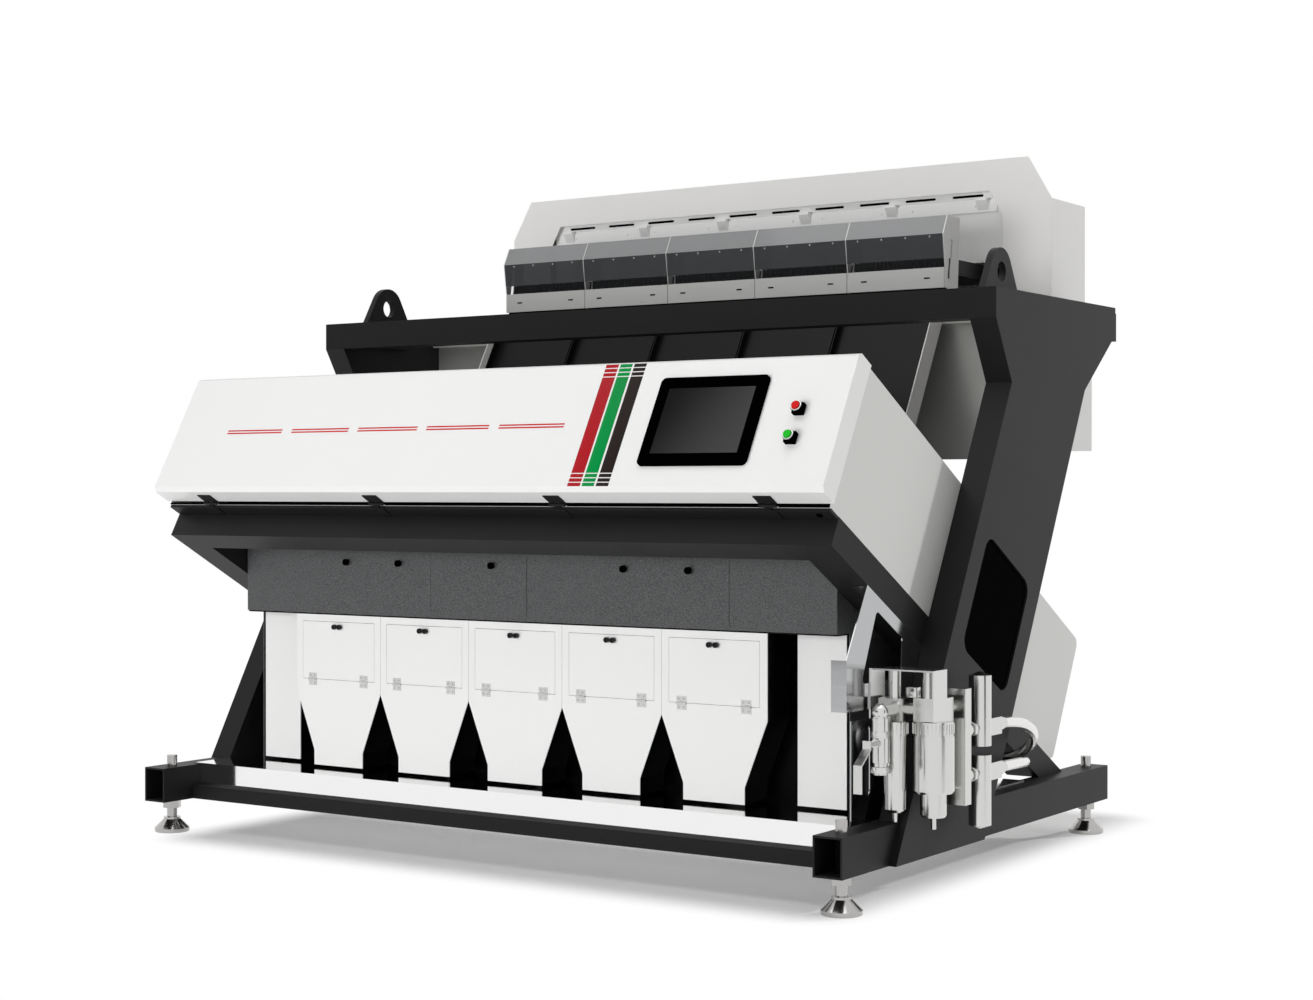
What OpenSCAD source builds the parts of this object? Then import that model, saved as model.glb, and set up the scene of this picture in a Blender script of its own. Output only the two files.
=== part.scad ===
// Optical colour sorter with five chutes, in millimetres.
// X runs across the machine and is 0 on the chutes' centre plane, Y runs to the back and is 0 at the
// front ends of the base beams, and Z is 0 on the floor. The last module moves all of it to the origin.
// Columns, chutes, optics and arms share one leaned frame: there y runs down and back, z up and back.

/* [Chute bank] */
// Distance from one chute to the next
chute_pitch = 325; // [300:1:350]
// Room between the outer chute and the side column
side_room = 305.5; // [290:0.5:330]

/* [Side columns] */
// Thickness of a side column, left to right
column_t = 77; // [65:1:95]
// Plate thickness of a side column
column_wall = 6; // [4:0.5:9]
// Width of a side column, measured level
column_w = 502; // [470:1:540]
// How far the column skirt laps the outside of the base beam
column_lap = 20; // [12:1:28]
// Lean of columns, chutes and optics from upright, in degrees
lean = 29; // [28:0.25:30]
// Front edge of a column foot, behind the beam ends
column_y = 235; // [225:1:245]
// Height where the front edge of a column turns forward
knee_z = 1306; // [1280:1:1330]
// Height where the rear edge of a column flares backward
rear_knee_z = 1303; // [1280:1:1330]
// Front end of the column head
head_front_y = 806; // [790:1:820]
// Rear end of the column head
head_rear_y = 1638; // [1630:1:1650]
// Top of the column head
head_z = 1557; // [1552:1:1562]
// Depth of the column head at its front end
head_front_h = 82; // [70:1:95]
// Depth of the column head at its rear end
head_rear_h = 100; // [92:1:108]
// Width of the window in a column
window_w = 300; // [250:1:330]
// Height of the window in a column
window_h = 330; // [280:1:380]
// Corner radius of the window
window_r = 40; // [20:1:60]
// Middle of the window, up the column
window_z = 793; // [760:1:830]
// Thickness of the window cover
cover_t = 4; // [2:0.5:6]

/* [Top beams] */
// Depth of the front top beam, front to back
top_beam_d = 80; // [60:1:100]
// Depth of the rear top beam, front to back
rear_beam_d = 74; // [60:1:90]
// Height of the rear top beam
rear_beam_h = 83; // [78:1:88]
// Thickness of the strap across the rear of both columns
strap_t = 6; // [4:0.5:10]
// Wall of the welded tubes
tube_wall = 5; // [3:0.5:7]

/* [Lifting lugs] */
// Thickness of a lifting lug
lug_t = 20; // [15:1:25]
// Diameter of the lifting eye
lug_eye_d = 55; // [40:1:65]
// Outer radius round the lifting eye
lug_r = 66; // [55:1:75]
// Width of a lug at the column head
lug_base = 224; // [180:1:260]
// Middle of the lug, front to back
lug_y = 1007; // [1000:1:1100]
// Height of the eye above the column head
lug_eye_h = 60; // [50:1:75]

/* [Base] */
// Width of a base beam
beam_w = 80; // [60:1:100]
// Height of a base beam
beam_h = 100; // [90:1:110]
// Length of a base beam
beam_l = 1630; // [1600:1:1700]
// Height of the base beams above the floor
foot_h = 95; // [85:1:110]
// Distance of the feet from the beam ends
foot_inset = 70; // [60:1:90]
// Side of the square cross members
cross_w = 40; // [30:1:50]
// Distance of the cross members from the beam ends
cross_y = 116; // [90:1:140]
// Diameter of a levelling stud
stud_d = 30; // [24:1:36]
// Length of stud that shows above the beam
stud_top = 32; // [20:1:45]
// Width across the flats of the lock nut
nut_af = 46; // [40:1:50]
// Height of the lock nut
nut_h = 24; // [18:1:28]
// Diameter of a foot pad
pad_d = 102; // [85:1:120]
// Diameter of the collar of a foot pad
pad_collar_d = 49; // [44:1:56]
// Height of a foot pad
pad_h = 44; // [38:1:50]

/* [Base tray] */
// Thickness of the tray sheet
tray_t = 3; // [2:0.5:5]
// Front edge of the tray
tray_y0 = 146; // [130:1:160]
// Rear edge of the tray
tray_y1 = 1160; // [1140:1:1190]
// Width of a discharge slot in the tray
slot_w = 186; // [176:1:200]

/* [Arms] */
// Width of an arm, left to right
arm_w = 100; // [80:1:110]
// Height of an arm
arm_h = 78; // [70:1:86]
// Underside of the front arms, up the column
arm_z = 599; // [590:1:608]
// Reach of the front arms from the column face
arm_reach = 543; // [520:1:560]
// Length of the front arms along the columns
arm_tail = 230; // [220:1:235]
// Depth of the beam that joins the front arms
arm_beam_d = 80; // [60:1:100]
// How far the rear arms sit below the front arms
rear_arm_step = 14; // [10:1:18]

/* [Front optical box] */
// How far the front box stands out past the front arms
box_over = 47; // [40:1:54]
// Depth of the front box behind the column face
box_rear = 110; // [90:1:120]
// Height of the front box
box_h = 395; // [380:1:410]
// Sheet thickness of boxes, hood and cabinet
sheet = 2.5; // [1.5:0.25:4]

/* [Inspection] */
// Thickness of the inspection glass
glass_t = 5; // [4:0.5:8]
// Height of the inspection glass
glass_h = 150; // [120:1:180]
// Lower edge of the inspection glass, up the column
glass_z = 770; // [740:1:800]
// Diameter of a lamp tube
lamp_d = 30; // [24:1:36]

/* [Rear optical box] */
// Front face of the rear box behind the column face
rear_box_y0 = 240; // [236:1:250]
// Depth of the rear box
rear_box_d = 673; // [620:1:700]
// Height of the rear box
rear_box_h = 385; // [360:1:384]
// Corner radius of the rear box
rear_box_r = 25; // [15:1:40]

/* [Front door] */
// Gap between the box and the door behind it
door_gap = 4; // [2:0.5:4.5]
// Depth of the door pan
door_d = 67; // [55:1:75]
// Height of the door pan
door_h = 387; // [370:1:400]
// Rise of the lower door edge above the box floor
door_rise = 8; // [7:0.25:10]
// How far the door reaches past the columns' inner faces
door_lap = 9; // [4:1:20]
// Chamfer along the upper and lower edge
door_chamfer = 11.5; // [6:0.5:16]
// Sheet thickness of the door
door_t = 2; // [1.5:0.25:3]
// Width of a door hinge
hinge_w = 50; // [40:1:60]
// Diameter of a hinge knuckle
knuckle_d = 9; // [8:0.25:10]
// Diameter of a hinge pin
hinge_pin_d = 5; // [4:0.25:6]
// Running room round a hinge pin
pin_fit = 0.05; // [0.02:0.01:0.08]
// Places of the inner hinges from the centre plane
hinge_x1 = 310; // [250:1:400]
// Places of the outer hinges from the centre plane
hinge_x2 = 945; // [850:1:1000]

/* [Touch screen and buttons] */
// Width of the screen bezel
bezel_w = 321; // [300:1:340]
// Height of the screen bezel
bezel_h = 256; // [240:1:280]
// Middle of the screen from the centre plane
screen_x = 735.5; // [700:0.5:760]
// Middle of the screen above the lower door edge
screen_z = 196; // [180:1:210]
// Width of the display
display_w = 257; // [240:1:270]
// Height of the display
display_h = 190; // [170:1:210]
// Push buttons from the centre plane
button_x = 1005; // [980:1:1050]
// Upper button above the lower door edge
button_z1 = 222; // [200:1:260]
// Lower button above the lower door edge
button_z2 = 141; // [100:1:180]
// Diameter of a button collar
collar_d = 31; // [28:0.5:36]
// Length of a button collar
collar_l = 24; // [18:1:30]
// Diameter of a button cap
cap_d = 21; // [18:0.5:24]

/* [Chutes] */
// Sliding face of the chutes behind the column face
chute_y = 185; // [180:1:188]
// Lower end of the chutes, up the column
chute_z0 = 970; // [940:1:1000]
// End of the chute lips, up the column
chute_z1 = 1795; // [1750:1:1800]
// Upper end of the chute plates, up the column
chute_z2 = 1872; // [1850:1:1880]
// Height of the chute lips
chute_lip = 20; // [12:1:25]
// Depth of the grey rails beside the chutes
side_rail_d = 65; // [45:1:66]

/* [Collection box] */
// Front face of the collection box
bin_y = 264; // [258:1:270]
// Lower edge of the front panel
bin_z = 653; // [648:1:660]
// Sheet thickness of the collection box
bin_t = 3; // [2:0.5:4]
// Rear end of the collection box
bin_rear_y = 820; // [800:1:840]
// Thickness of an access cover
access_t = 1.5; // [1:0.25:3]
// Height of the access covers
access_h = 168; // [150:1:180]
// Diameter of an access cover knob
access_knob_d = 19; // [14:1:24]

/* [Reject funnels] */
// Depth of the funnels, front to back
funnel_d = 113; // [100:1:130]
// Sheet thickness of the funnels
funnel_t = 2; // [1.5:0.25:3]
// Height where the funnels start to narrow
shoulder_z = 424; // [410:1:440]
// Height where the funnels stop narrowing
neck_z = 250; // [240:1:270]
// Lower end of the funnels
funnel_z0 = 206; // [203:1:215]
// Width of a funnel outlet
neck_w = 188; // [170:1:210]
// Black back sheet behind the funnels
apron_y = 409; // [400:1:415]
// Face of the white panels beside the funnels
infill_y = 331; // [325:1:340]
// Inner edge of the white panels from the outer funnel
infill_in = 50; // [40:1:60]

/* [Sample doors] */
// Width of a sample door
sample_w = 277; // [240:1:290]
// Lower edge of a sample door
sample_z0 = 459; // [450:1:470]
// Upper edge of a sample door
sample_z1 = 628; // [615:1:635]
// Place of the hinges from the middle of a sample door
sample_hinge_x = 99; // [80:1:110]
// Diameter of the sample door hinge knuckles
sample_knuckle_d = 6; // [5:0.25:7]
// Diameter of the sample door hinge pins
sample_pin_d = 3; // [2:0.25:3.5]
// Width of a sample door hinge
sample_hinge_w = 30; // [24:1:36]
// Diameter of a sample door knob
sample_knob_d = 15; // [12:1:18]
// Distance between the two knobs of a sample door
sample_knob_x = 20; // [19:1:30]

/* [Accept trough] */
// Height of the upper edge of the accept trough
accept_z1 = 470; // [450:1:490]
// Width of the accept outlet, front to back
accept_mouth = 110; // [90:1:130]
// Middle of the accept outlet
accept_y = 560; // [540:1:580]

/* [Side shields] */
// Sheet thickness of the polished shields
shield_t = 3; // [2:0.5:4]
// Front edge of the upper shield
shield_y0 = 125; // [115:1:135]
// Lower edge of the upper shield
shield_z0 = 476; // [470:1:490]
// Height of the upright front edge of the upper shield
shield_edge_h = 126; // [110:1:140]
// Front edge of the lower shield
low_shield_y0 = 185; // [175:1:195]
// Rear edge of the lower shield
low_shield_y1 = 428; // [400:1:440]
// Upper edge of the lower shield
low_shield_z1 = 449; // [430:1:465]
// Width of the slot in the lower shield
low_slot_w = 27; // [20:1:34]
// Length of the slot in the lower shield
low_slot_l = 173; // [150:1:190]
// Distance of the rear shield behind the front beam
rear_shield_y = 1290; // [1288:1:1294]
// Lower edge of the rear shield
rear_shield_z = 1105; // [1090:1:1130]

/* [Feeders] */
// Front face of the feeder plates
feeder_y = 1273; // [1270:1:1275]
// Thickness of the feeder plates
feeder_plate_t = 3; // [2:0.5:4]
// Lower edge of the feeder plates
feeder_plate_z = 1610; // [1608:1:1615]
// Height of the feeder plates
feeder_plate_h = 60; // [50:1:68]
// Thickness of the bed under the feeders
bed_t = 10; // [6:1:12]
// Height where the visors bend
visor_bend_z = 1768; // [1755:1:1780]
// Top of the visors
visor_z1 = 1824; // [1810:1:1835]
// How far the visors bulge forward at their bend
visor_bulge = 11; // [5:1:16]
// How far the visors lean back at their top
visor_back = 17; // [5:1:30]
// Thickness of the visors
visor_t = 4; // [3:0.5:6]
// Front lip of the feeder trays
feeder_tray_y0 = 1304; // [1300:1:1308]
// Rear end of the feeder trays
feeder_tray_y1 = 1690; // [1670:1:1710]
// Underside of the feeder trays
feeder_tray_z = 1655; // [1650:1:1660]
// Height of the feeder trays
feeder_tray_h = 46; // [38:1:52]
// Sheet thickness of the feeder trays
feeder_tray_t = 3; // [2:0.5:4]
// Number of grooves in a feeder tray
groove_count = 24; // [16:1:30]
// Width of a drive magnet
magnet_w = 120; // [100:1:150]
// Height of a drive magnet
magnet_h = 60; // [50:1:65]
// Middle of the drive magnets
magnet_y = 1475; // [1465:1:1485]
// Width of a leaf spring
spring_w = 80; // [60:1:100]
// Distance from the drive magnet middle to the leaf springs
spring_off = 115; // [110:1:125]

/* [Feed hood] */
// Side room between chute bank and hood wall
hood_room = 203.5; // [190:0.5:210]
// Front face of the hood
hood_y = 1581; // [1576:1:1586]
// Depth of the hood
hood_d = 254; // [240:1:280]
// Height where the hood starts to slope inward
hood_eave_z = 1892; // [1870:1:1910]
// Top of the hood
hood_z1 = 2023; // [2010:1:2050]
// How far the hood slopes inward
hood_slope = 76; // [50:1:100]
// Side room between chute bank and hood opening
mouth_room = 44; // [30:1:60]
// Height where the hood opening slopes inward
mouth_eave_z = 1851; // [1840:1:1865]
// Top of the hood opening
mouth_z1 = 1929; // [1915:1:1940]
// Side room between chute bank and hopper bin
hopper_room = 37; // [30:1:42]
// Front face of the hopper bin
hopper_y0 = 1605; // [1602:1:1610]
// Rear edge of the hopper inlet
hopper_y1 = 1800; // [1780:1:1810]
// Rear edge of the hopper outlet
hopper_out_y = 1680; // [1670:1:1690]
// Height of the hopper outlet
hopper_out_z = 1722; // [1718:1:1735]
// Height of the bin's rim above the hood
inlet_rim_h = 4; // [2:0.5:10]
// Lower edge of the gate bar
gate_z = 1868; // [1860:1:1875]
// Height of the gate bar
gate_h = 35; // [25:1:38]
// Lower edge of the slotted strip
slat_z = 1910; // [1908:1:1914]
// Length of a slot in the slotted strip
slat_slot_l = 105; // [80:1:130]

/* [Rear cabinet] */
// Side room between chute bank and cabinet wall
cabinet_room = 203.5; // [190:0.5:210]
// Depth of the rear cabinet
cabinet_d = 246; // [220:1:270]
// Lower edge of the rear cabinet
cabinet_z = 1137; // [1120:1:1160]
// Thickness of the cabinet's rear cover
cabinet_cover_t = 3; // [2:0.5:5]
// Diameter of the cable gland
gland_d = 36; // [28:1:44]

/* [Air unit] */
// Width of the bracket
bracket_w = 175; // [172:1:185]
// Front edge of the bracket
bracket_y = 240; // [235:1:245]
// Depth of the bracket
bracket_d = 75; // [65:1:80]
// Top of the bracket
bracket_z = 577; // [570:1:584]
// Length of the bracket legs
bracket_leg = 124; // [110:1:130]
// Small filter, out from the column's inner face
filter_x = 51; // [49:1:52]
// Middle of the small filter, front to back
filter_y = 279; // [275:1:280]
// Diameter of the small filter bowl
filter_d = 60; // [52:1:62]
// Lower end of the small filter bowl
filter_z0 = 222; // [210:1:235]
// Gap between the column and the large filter
tank_filter_gap = 1; // [0.5:0.5:3]
// Middle of the large filter, front to back
tank_filter_y = 330; // [326:1:334]
// Diameter of the large filter bowl
tank_filter_d = 105; // [100:1:108]
// Lower end of the large filter bowl
tank_filter_z0 = 270; // [260:1:280]
// Diameter of the cup under the large filter
cup_d = 66; // [58:1:74]
// Height of the cup under the large filter
cup_h = 60; // [50:1:66]
// Upper end of both filter bowls
bowl_z1 = 412; // [405:1:418]
// Height of the filter heads
head_h = 58; // [50:1:66]
// Diameter of the air pipes
pipe_d = 30; // [24:1:34]
// Middle of the ball valve, front to back
valve_y = 204; // [200:1:206]
// Diameter of the ball valve
valve_d = 42; // [36:1:44]
// Lower end of the ball valve
valve_z0 = 322; // [310:1:330]
// Bore of the air inlet
inlet_d = 19; // [15:1:22]
// Depth of the air inlet bore
inlet_l = 30; // [20:1:36]
// Diameter of the valve stem
stem_d = 10; // [8:0.5:12]
// Front end of the valve stem
stem_y = 132; // [128:1:138]
// Height of the valve stem
stem_z = 400; // [390:1:405]
// Reach of the lever in front of the stem
lever_out = 46; // [35:1:55]
// Length of the lever
lever_l = 112; // [95:1:125]
// Width of the lever
lever_w = 22; // [16:1:26]

/* [Valves and hoses] */
// Front face of the manifold channel
channel_y = 400; // [396:1:404]
// Width of the manifold channel
channel_w = 56; // [56:1:62]
// Lower end of the manifold channel
channel_z0 = 233; // [225:1:240]
// Upper end of the manifold channel
channel_z1 = 522; // [515:1:530]
// Middle of the air valves, front to back
air_valve_y = 575; // [565:1:585]
// Air valves, out from the column's inner face
air_valve_x = 140; // [136:1:142]
// Diameter of an air valve
air_valve_d = 58; // [50:1:60]
// Lower end of the upper air valve
upper_valve_z = 363; // [358:1:368]
// Lower end of the lower air valve
lower_valve_z = 160; // [155:1:165]
// Length of an air valve body
air_valve_l = 180; // [170:1:184]
// Port of the upper air valve above its lower end
upper_port_h = 46; // [40:1:55]
// Port of the lower air valve above its lower end
lower_port_h = 135; // [125:1:145]
// Rear face of the outlet block
outlet_y = 660; // [650:1:670]
// Diameter of an air hose
hose_d = 28; // [22:1:30]
// Diameter of the air tank
tank_d = 150; // [130:1:160]
// Middle of the air tank, front to back
tank_y = 1045; // [1040:1:1050]
// Height of the air tank's axis
tank_z = 278; // [275:1:285]
// Diameter of a hose fitting
fitting_d = 38; // [34:1:42]

/* [Hidden] */

CHUTES = 5;
round_fn = 64;
cut = 1;

// Smaller sizes and fits
head_lip = 26;
cover_lap = 12;
lug_lap_h = 70;
pad_rim_h = 12;
pad_floor = 18;
stud_fit = 0.3;
slot_d = 54;
box_gap = 1;
strip_d = 41;
strip_t = 8;
strip_inset = 4;
glass_lap = 12;
camera_w = 90;
camera_h = 80;
camera_l = 130;
lens_d = 52;
lens_l = 48;
camera_back = 320;
rail_t = 12;
lamp_back = 70;
hinge_leaf = 38;
hinge_t = 3;
knuckle_gap = 0.5;
bezel_t = 8;
bezel_r = 14;
display_t = 2;
screen_d = 42;
bezel_rim = 15;
cap_out = 5;
cap_l = 18;
cap_fit = 0.3;
chute_t = 3;
chute_gap = 4;
chute_bar_h = 40;
chute_bar_d = 30;
rail_lap = 18;
low_bar_up = 40;
top_bar_drop = 65;
nozzle_t = 28;
nozzle_h = 50;
ejector_d = 60;
ejector_gap = 20;
bin_gap = 3;
access_knob_drop = 28;
access_knob_l = 15;
funnel_gap = 0.5;
shelf_t = 4;
infill_gap = 8;
infill_out = 7;
sample_gap = 1;
sample_leaf = 14;
sample_leaf_t = 1.5;
sample_fit = 0.4;
sample_knob_drop = 14;
sample_knob_l = 13;
shield_fold = 40;
low_shield_in = 20;
low_slot_y = 83;
feeder_plate_gap = 4;
divider_t = 3;
visor_gap = 0.4;
feeder_tray_gap = 8;
groove_rib = 4;
groove_l = 60;
magnet_d = 110;
armature_h = 34;
spring_t = 4;
spring_slant = 26;
mouth_slope = 43;
bin_fit = 0.4;
bin_flange = 25;
gate_t = 5;
gate_hole_d = 6;
slat_h = 18;
slat_slot_w = 8;
module_d = 90;
module_h = 200;
module_up = 60;
gland_l = 22;
gland_in = 90;
bracket_t = 4;
bowl_collar_h = 34;
drain_l = 30;
drain_gap = 3;
head_half = 35;
head_half_d = 40;
pipe_off = 25;
drain_d = 14;
stem_fit = 0.3;
lever_t = 4;
channel_d = 34;
air_cap_h = 9;
port_off = 37;
port_drop = 15;
fitting_l = 30;
saddle_t = 12;
tank_gap = 12;
outlet_w = 44;

// Colours
black_paint = "#2b2b2b";
soft_black = "#161616";
white_paint = "#f0f0ee";
grey_paint = "#cfcfcc";
hammered_grey = "#5f5f5f";
steel = "#c9cacb";
clear_tint = [0.55, 0.57, 0.58, 0.5];

// Widths, from the chute bank outward
bank_half = CHUTES * chute_pitch / 2;
frame_half = bank_half + side_room;
column_outer = frame_half + column_t;
beam_outer = column_outer - column_lap;
beam_inner = beam_outer - beam_w;
foot_x = beam_outer - beam_w / 2;
arm_in = frame_half - arm_w;
box_half = frame_half - box_gap;
door_half = frame_half + door_lap;
bin_half = arm_in - bin_gap;
hood_half = bank_half + hood_room;
hopper_half = bank_half + hopper_room;
cabinet_half = bank_half + cabinet_room;

// Heights and depths that several pieces share
beam_z0 = foot_h;
beam_z1 = foot_h + beam_h;
tray_z1 = beam_z1 + tray_t;
rear_beam_z0 = head_z - head_rear_h;
rear_beam_z1 = rear_beam_z0 + rear_beam_h;
bed_z1 = rear_beam_z1 + bed_t;
cabinet_y = head_rear_y + strap_t;
box_z = arm_z + arm_h;
box_front = arm_reach + box_over;
rear_box_z = box_z - rear_arm_step;
door_z = box_z + door_rise;
door_back = box_front + door_gap;
door_front = door_back + door_d;
hinge_y = -door_back - 1;
hinge_z = door_z - 7;
shelf_z = bin_z - shelf_t;
filter_at = frame_half + filter_x;
tank_filter_at = column_outer + tank_filter_gap + tank_filter_d / 2;
air_valve_at = frame_half + air_valve_x;
bracket_x = frame_half + bracket_w;
air_outer = max(bracket_x, tank_filter_at + tank_filter_d / 2);
pipe_z = bowl_z1 + bowl_collar_h + head_h / 2;
tank_end = arm_in - tank_gap;
channel_back = channel_y + channel_d;

// Middle of the box round the whole machine, which becomes the origin
middle_x = (air_outer - column_outer) / 2;
middle_y = (world_y(-door_front, door_z + door_chamfer) + cabinet_y + cabinet_d + cabinet_cover_t) / 2;

function bank_x(i) = (i - (CHUTES + 1) / 2) * chute_pitch;
function world_y(y, z) = column_y + y * cos(lean) + z * sin(lean);
function world_z(y, z) = beam_z0 - y * sin(lean) + z * cos(lean);
function front_y(z) = column_y + (z - beam_z0) * tan(lean);
function under_box_z(y, drop) =
    world_z((y - column_y - (box_z - drop) * sin(lean)) / cos(lean), box_z - drop);

function under_arm_y(y) = (y - column_y - arm_z * sin(lean)) / cos(lean);

// Outline moved inward by d, for outlines that run clockwise
function right_normal(v) = [v[1], -v[0]] / norm(v);
function inset_corner(a, b, c, d) =
    let (n = right_normal(b - a), m = right_normal(c - b)) b + d * (n + m) / (1 + n * m);
function inset(p, d) = [
    for (i = [0:len(p) - 1])
        inset_corner(p[(i + len(p) - 1) % len(p)], p[i], p[(i + 1) % len(p)], d)
];

// Point where a line from p touches the circle round c
function tangent(p, c, r, side) =
    let (v = p - c, a = atan2(v[1], v[0]) + side * acos(r / norm(v))) c + r * [cos(a), sin(a)];

module leaned() translate([0, column_y, beam_z0]) rotate([-lean, 0, 0]) children();

module both_sides() {
    children();
    mirror([1, 0, 0]) children();
}

// Outline in Y and Z, drawn out along X
module along_x(x0, x1) translate([x0, 0, 0]) rotate([90, 0, 90]) linear_extrude(x1 - x0) children();

// Outline in X and Z, drawn out along Y
module along_y(y0, y1) translate([0, y1, 0]) rotate([90, 0, 0]) linear_extrude(y1 - y0) children();

module block(low, high) translate(low) cube(high - low);

module rod_x(d, x0, x1, y, z) translate([x0, y, z]) rotate([0, 90, 0])
    cylinder(d = d, h = x1 - x0, $fn = round_fn);

module rod_y(d, y0, y1, x, z) translate([x, y1, z]) rotate([90, 0, 0])
    cylinder(d = d, h = y1 - y0, $fn = round_fn);

module rod_z(d, z0, z1, x, y) translate([x, y, z0]) cylinder(d = d, h = z1 - z0, $fn = round_fn);

module tube_x(low, high, wall) difference() {
    block(low, high);
    block(low + [-cut, wall, wall], high + [cut, -wall, -wall]);
}

module rounded(w, h, r) {
    square([w - 2 * r, h], center = true);
    square([w, h - 2 * r], center = true);
    for (x = [-1, 1], y = [-1, 1])
        translate([x * (w / 2 - r), y * (h / 2 - r)]) circle(r, $fn = round_fn);
}

// Slot with round ends along its length
module slot(l, w) {
    square([l - w, w], center = true);
    for (s = [-1, 1]) translate([s * (l - w) / 2, 0]) circle(d = w, $fn = round_fn);
}

// Base and frame

module base_beams() color(black_paint) both_sides() difference() {
    block([beam_inner, 0, beam_z0], [beam_outer, beam_l, beam_z1]);
    block([beam_inner + tube_wall, -cut, beam_z0 + tube_wall],
          [beam_outer - tube_wall, beam_l + cut, beam_z1 - tube_wall]);
    for (y = [foot_inset, beam_l - foot_inset])
        rod_z(stud_d + 2 * stud_fit, beam_z0 - cut, beam_z1 + cut, foot_x, y);
}

module base_cross_members() color(black_paint)
    for (y = [cross_y, beam_l - cross_y - cross_w])
        tube_x([-beam_inner, y, beam_z0], [beam_inner, y + cross_w, beam_z0 + cross_w], tube_wall);

function column_outline() = [
    [front_y(beam_z1), beam_z1],
    [front_y(knee_z), knee_z],
    [head_front_y, head_z - head_front_h],
    [head_front_y, head_z],
    [head_rear_y, head_z],
    [head_rear_y, rear_beam_z0],
    [head_rear_y - head_lip, rear_beam_z0],
    [front_y(rear_knee_z) + column_w, rear_knee_z],
    [front_y(beam_z1) + column_w, beam_z1]
];

function skirt_outline() = [
    [front_y(beam_z0), beam_z0],
    [front_y(beam_z1), beam_z1],
    [front_y(beam_z1) + column_w, beam_z1],
    [front_y(beam_z0) + column_w, beam_z0]
];

// Rounded window in the outer plate, in line with the lean of the column
module column_window(x0, x1, grow) leaned() along_x(x0, x1)
    translate([column_w * cos(lean) / 2, window_z])
        rounded(window_w + 2 * grow, window_h + 2 * grow, window_r + grow);

module side_columns() color(black_paint) both_sides() difference() {
    union() {
        along_x(frame_half, column_outer) polygon(column_outline());
        along_x(beam_outer, column_outer) polygon(skirt_outline());
    }
    along_x(frame_half + column_wall, column_outer - column_wall)
        polygon(inset(column_outline(), column_wall));
    column_window(column_outer - column_wall - cut, column_outer + cut, 0);
}

module column_covers() color(soft_black) both_sides()
    column_window(column_outer - column_wall - cover_t, column_outer - column_wall, cover_lap);

module top_beams() color(black_paint) {
    tube_x([-frame_half, head_front_y, head_z - head_front_h],
           [frame_half, head_front_y + top_beam_d, head_z], tube_wall);
    difference() {
        union() {
            block([-frame_half, head_rear_y - rear_beam_d, rear_beam_z0],
                  [frame_half, head_rear_y, rear_beam_z1]);
            block([-column_outer, head_rear_y, rear_beam_z0],
                  [column_outer, head_rear_y + strap_t, rear_beam_z1]);
        }
        block([-frame_half - cut, head_rear_y - rear_beam_d + tube_wall, rear_beam_z0 + tube_wall],
              [frame_half + cut, head_rear_y - tube_wall, rear_beam_z1 - tube_wall]);
    }
}

module lifting_lugs() color(black_paint) {
    eye = [lug_y, head_z + lug_eye_h];
    left = [lug_y - lug_base / 2, head_z];
    right = [lug_y + lug_base / 2, head_z];
    both_sides() along_x(frame_half - lug_t, frame_half) difference() {
        union() {
            polygon([
                left - [0, lug_lap_h], left, tangent(left, eye, lug_r, -1), eye,
                tangent(right, eye, lug_r, 1), right, right - [0, lug_lap_h]
            ]);
            translate(eye) circle(lug_r, $fn = round_fn);
        }
        translate(eye) circle(d = lug_eye_d, $fn = round_fn);
    }
}

module at_feet() for (x = [-foot_x, foot_x], y = [foot_inset, beam_l - foot_inset])
    translate([x, y, 0]) children();

module foot_pads() color(steel) at_feet() rotate_extrude($fn = round_fn) polygon([
    [0, 0], [pad_d / 2 - 2, 0], [pad_d / 2, 2], [pad_d / 2, pad_rim_h],
    [pad_collar_d / 2 + 3, pad_h - 9], [pad_collar_d / 2, pad_h - 6], [pad_collar_d / 2, pad_h],
    [stud_d / 2 + stud_fit, pad_h], [stud_d / 2 + stud_fit, pad_floor], [0, pad_floor]
]);

module foot_studs() color(steel) at_feet() {
    rod_z(stud_d, pad_floor, beam_z1 + stud_top, 0, 0);
    translate([0, 0, beam_z0 - nut_h]) difference() {
        cylinder(d = nut_af / cos(30), h = nut_h, $fn = 6);
        rod_z(stud_d + 2 * stud_fit, -cut, nut_h + cut, 0, 0);
    }
}

// Front arms with the beam that joins their ends
module front_arms() color(black_paint) leaned() {
    both_sides() difference() {
        block([arm_in, -arm_reach, arm_z], [frame_half, arm_tail, box_z]);
        block([arm_in + tube_wall, -arm_reach + tube_wall, arm_z + tube_wall],
              [frame_half - tube_wall, arm_tail + cut, box_z - tube_wall]);
    }
    difference() {
        block([-arm_in, -arm_reach, arm_z], [arm_in, -arm_reach + arm_beam_d, box_z]);
        block([-arm_in - tube_wall - cut, -arm_reach + tube_wall, arm_z + tube_wall],
              [arm_in + tube_wall + cut, -arm_reach + arm_beam_d - tube_wall, box_z - tube_wall]);
    }
}

module rear_arms() color(black_paint) intersection() {
    leaned() both_sides() difference() {
        block([arm_in, arm_tail, arm_z - rear_arm_step], [frame_half, beam_l, rear_box_z]);
        block([arm_in + tube_wall, arm_tail - cut, arm_z - rear_arm_step + tube_wall],
              [frame_half - tube_wall, beam_l + cut, rear_box_z - tube_wall]);
    }
    block([-frame_half - cut, 0, beam_z1], [frame_half + cut, beam_l, head_z]);
}

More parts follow.
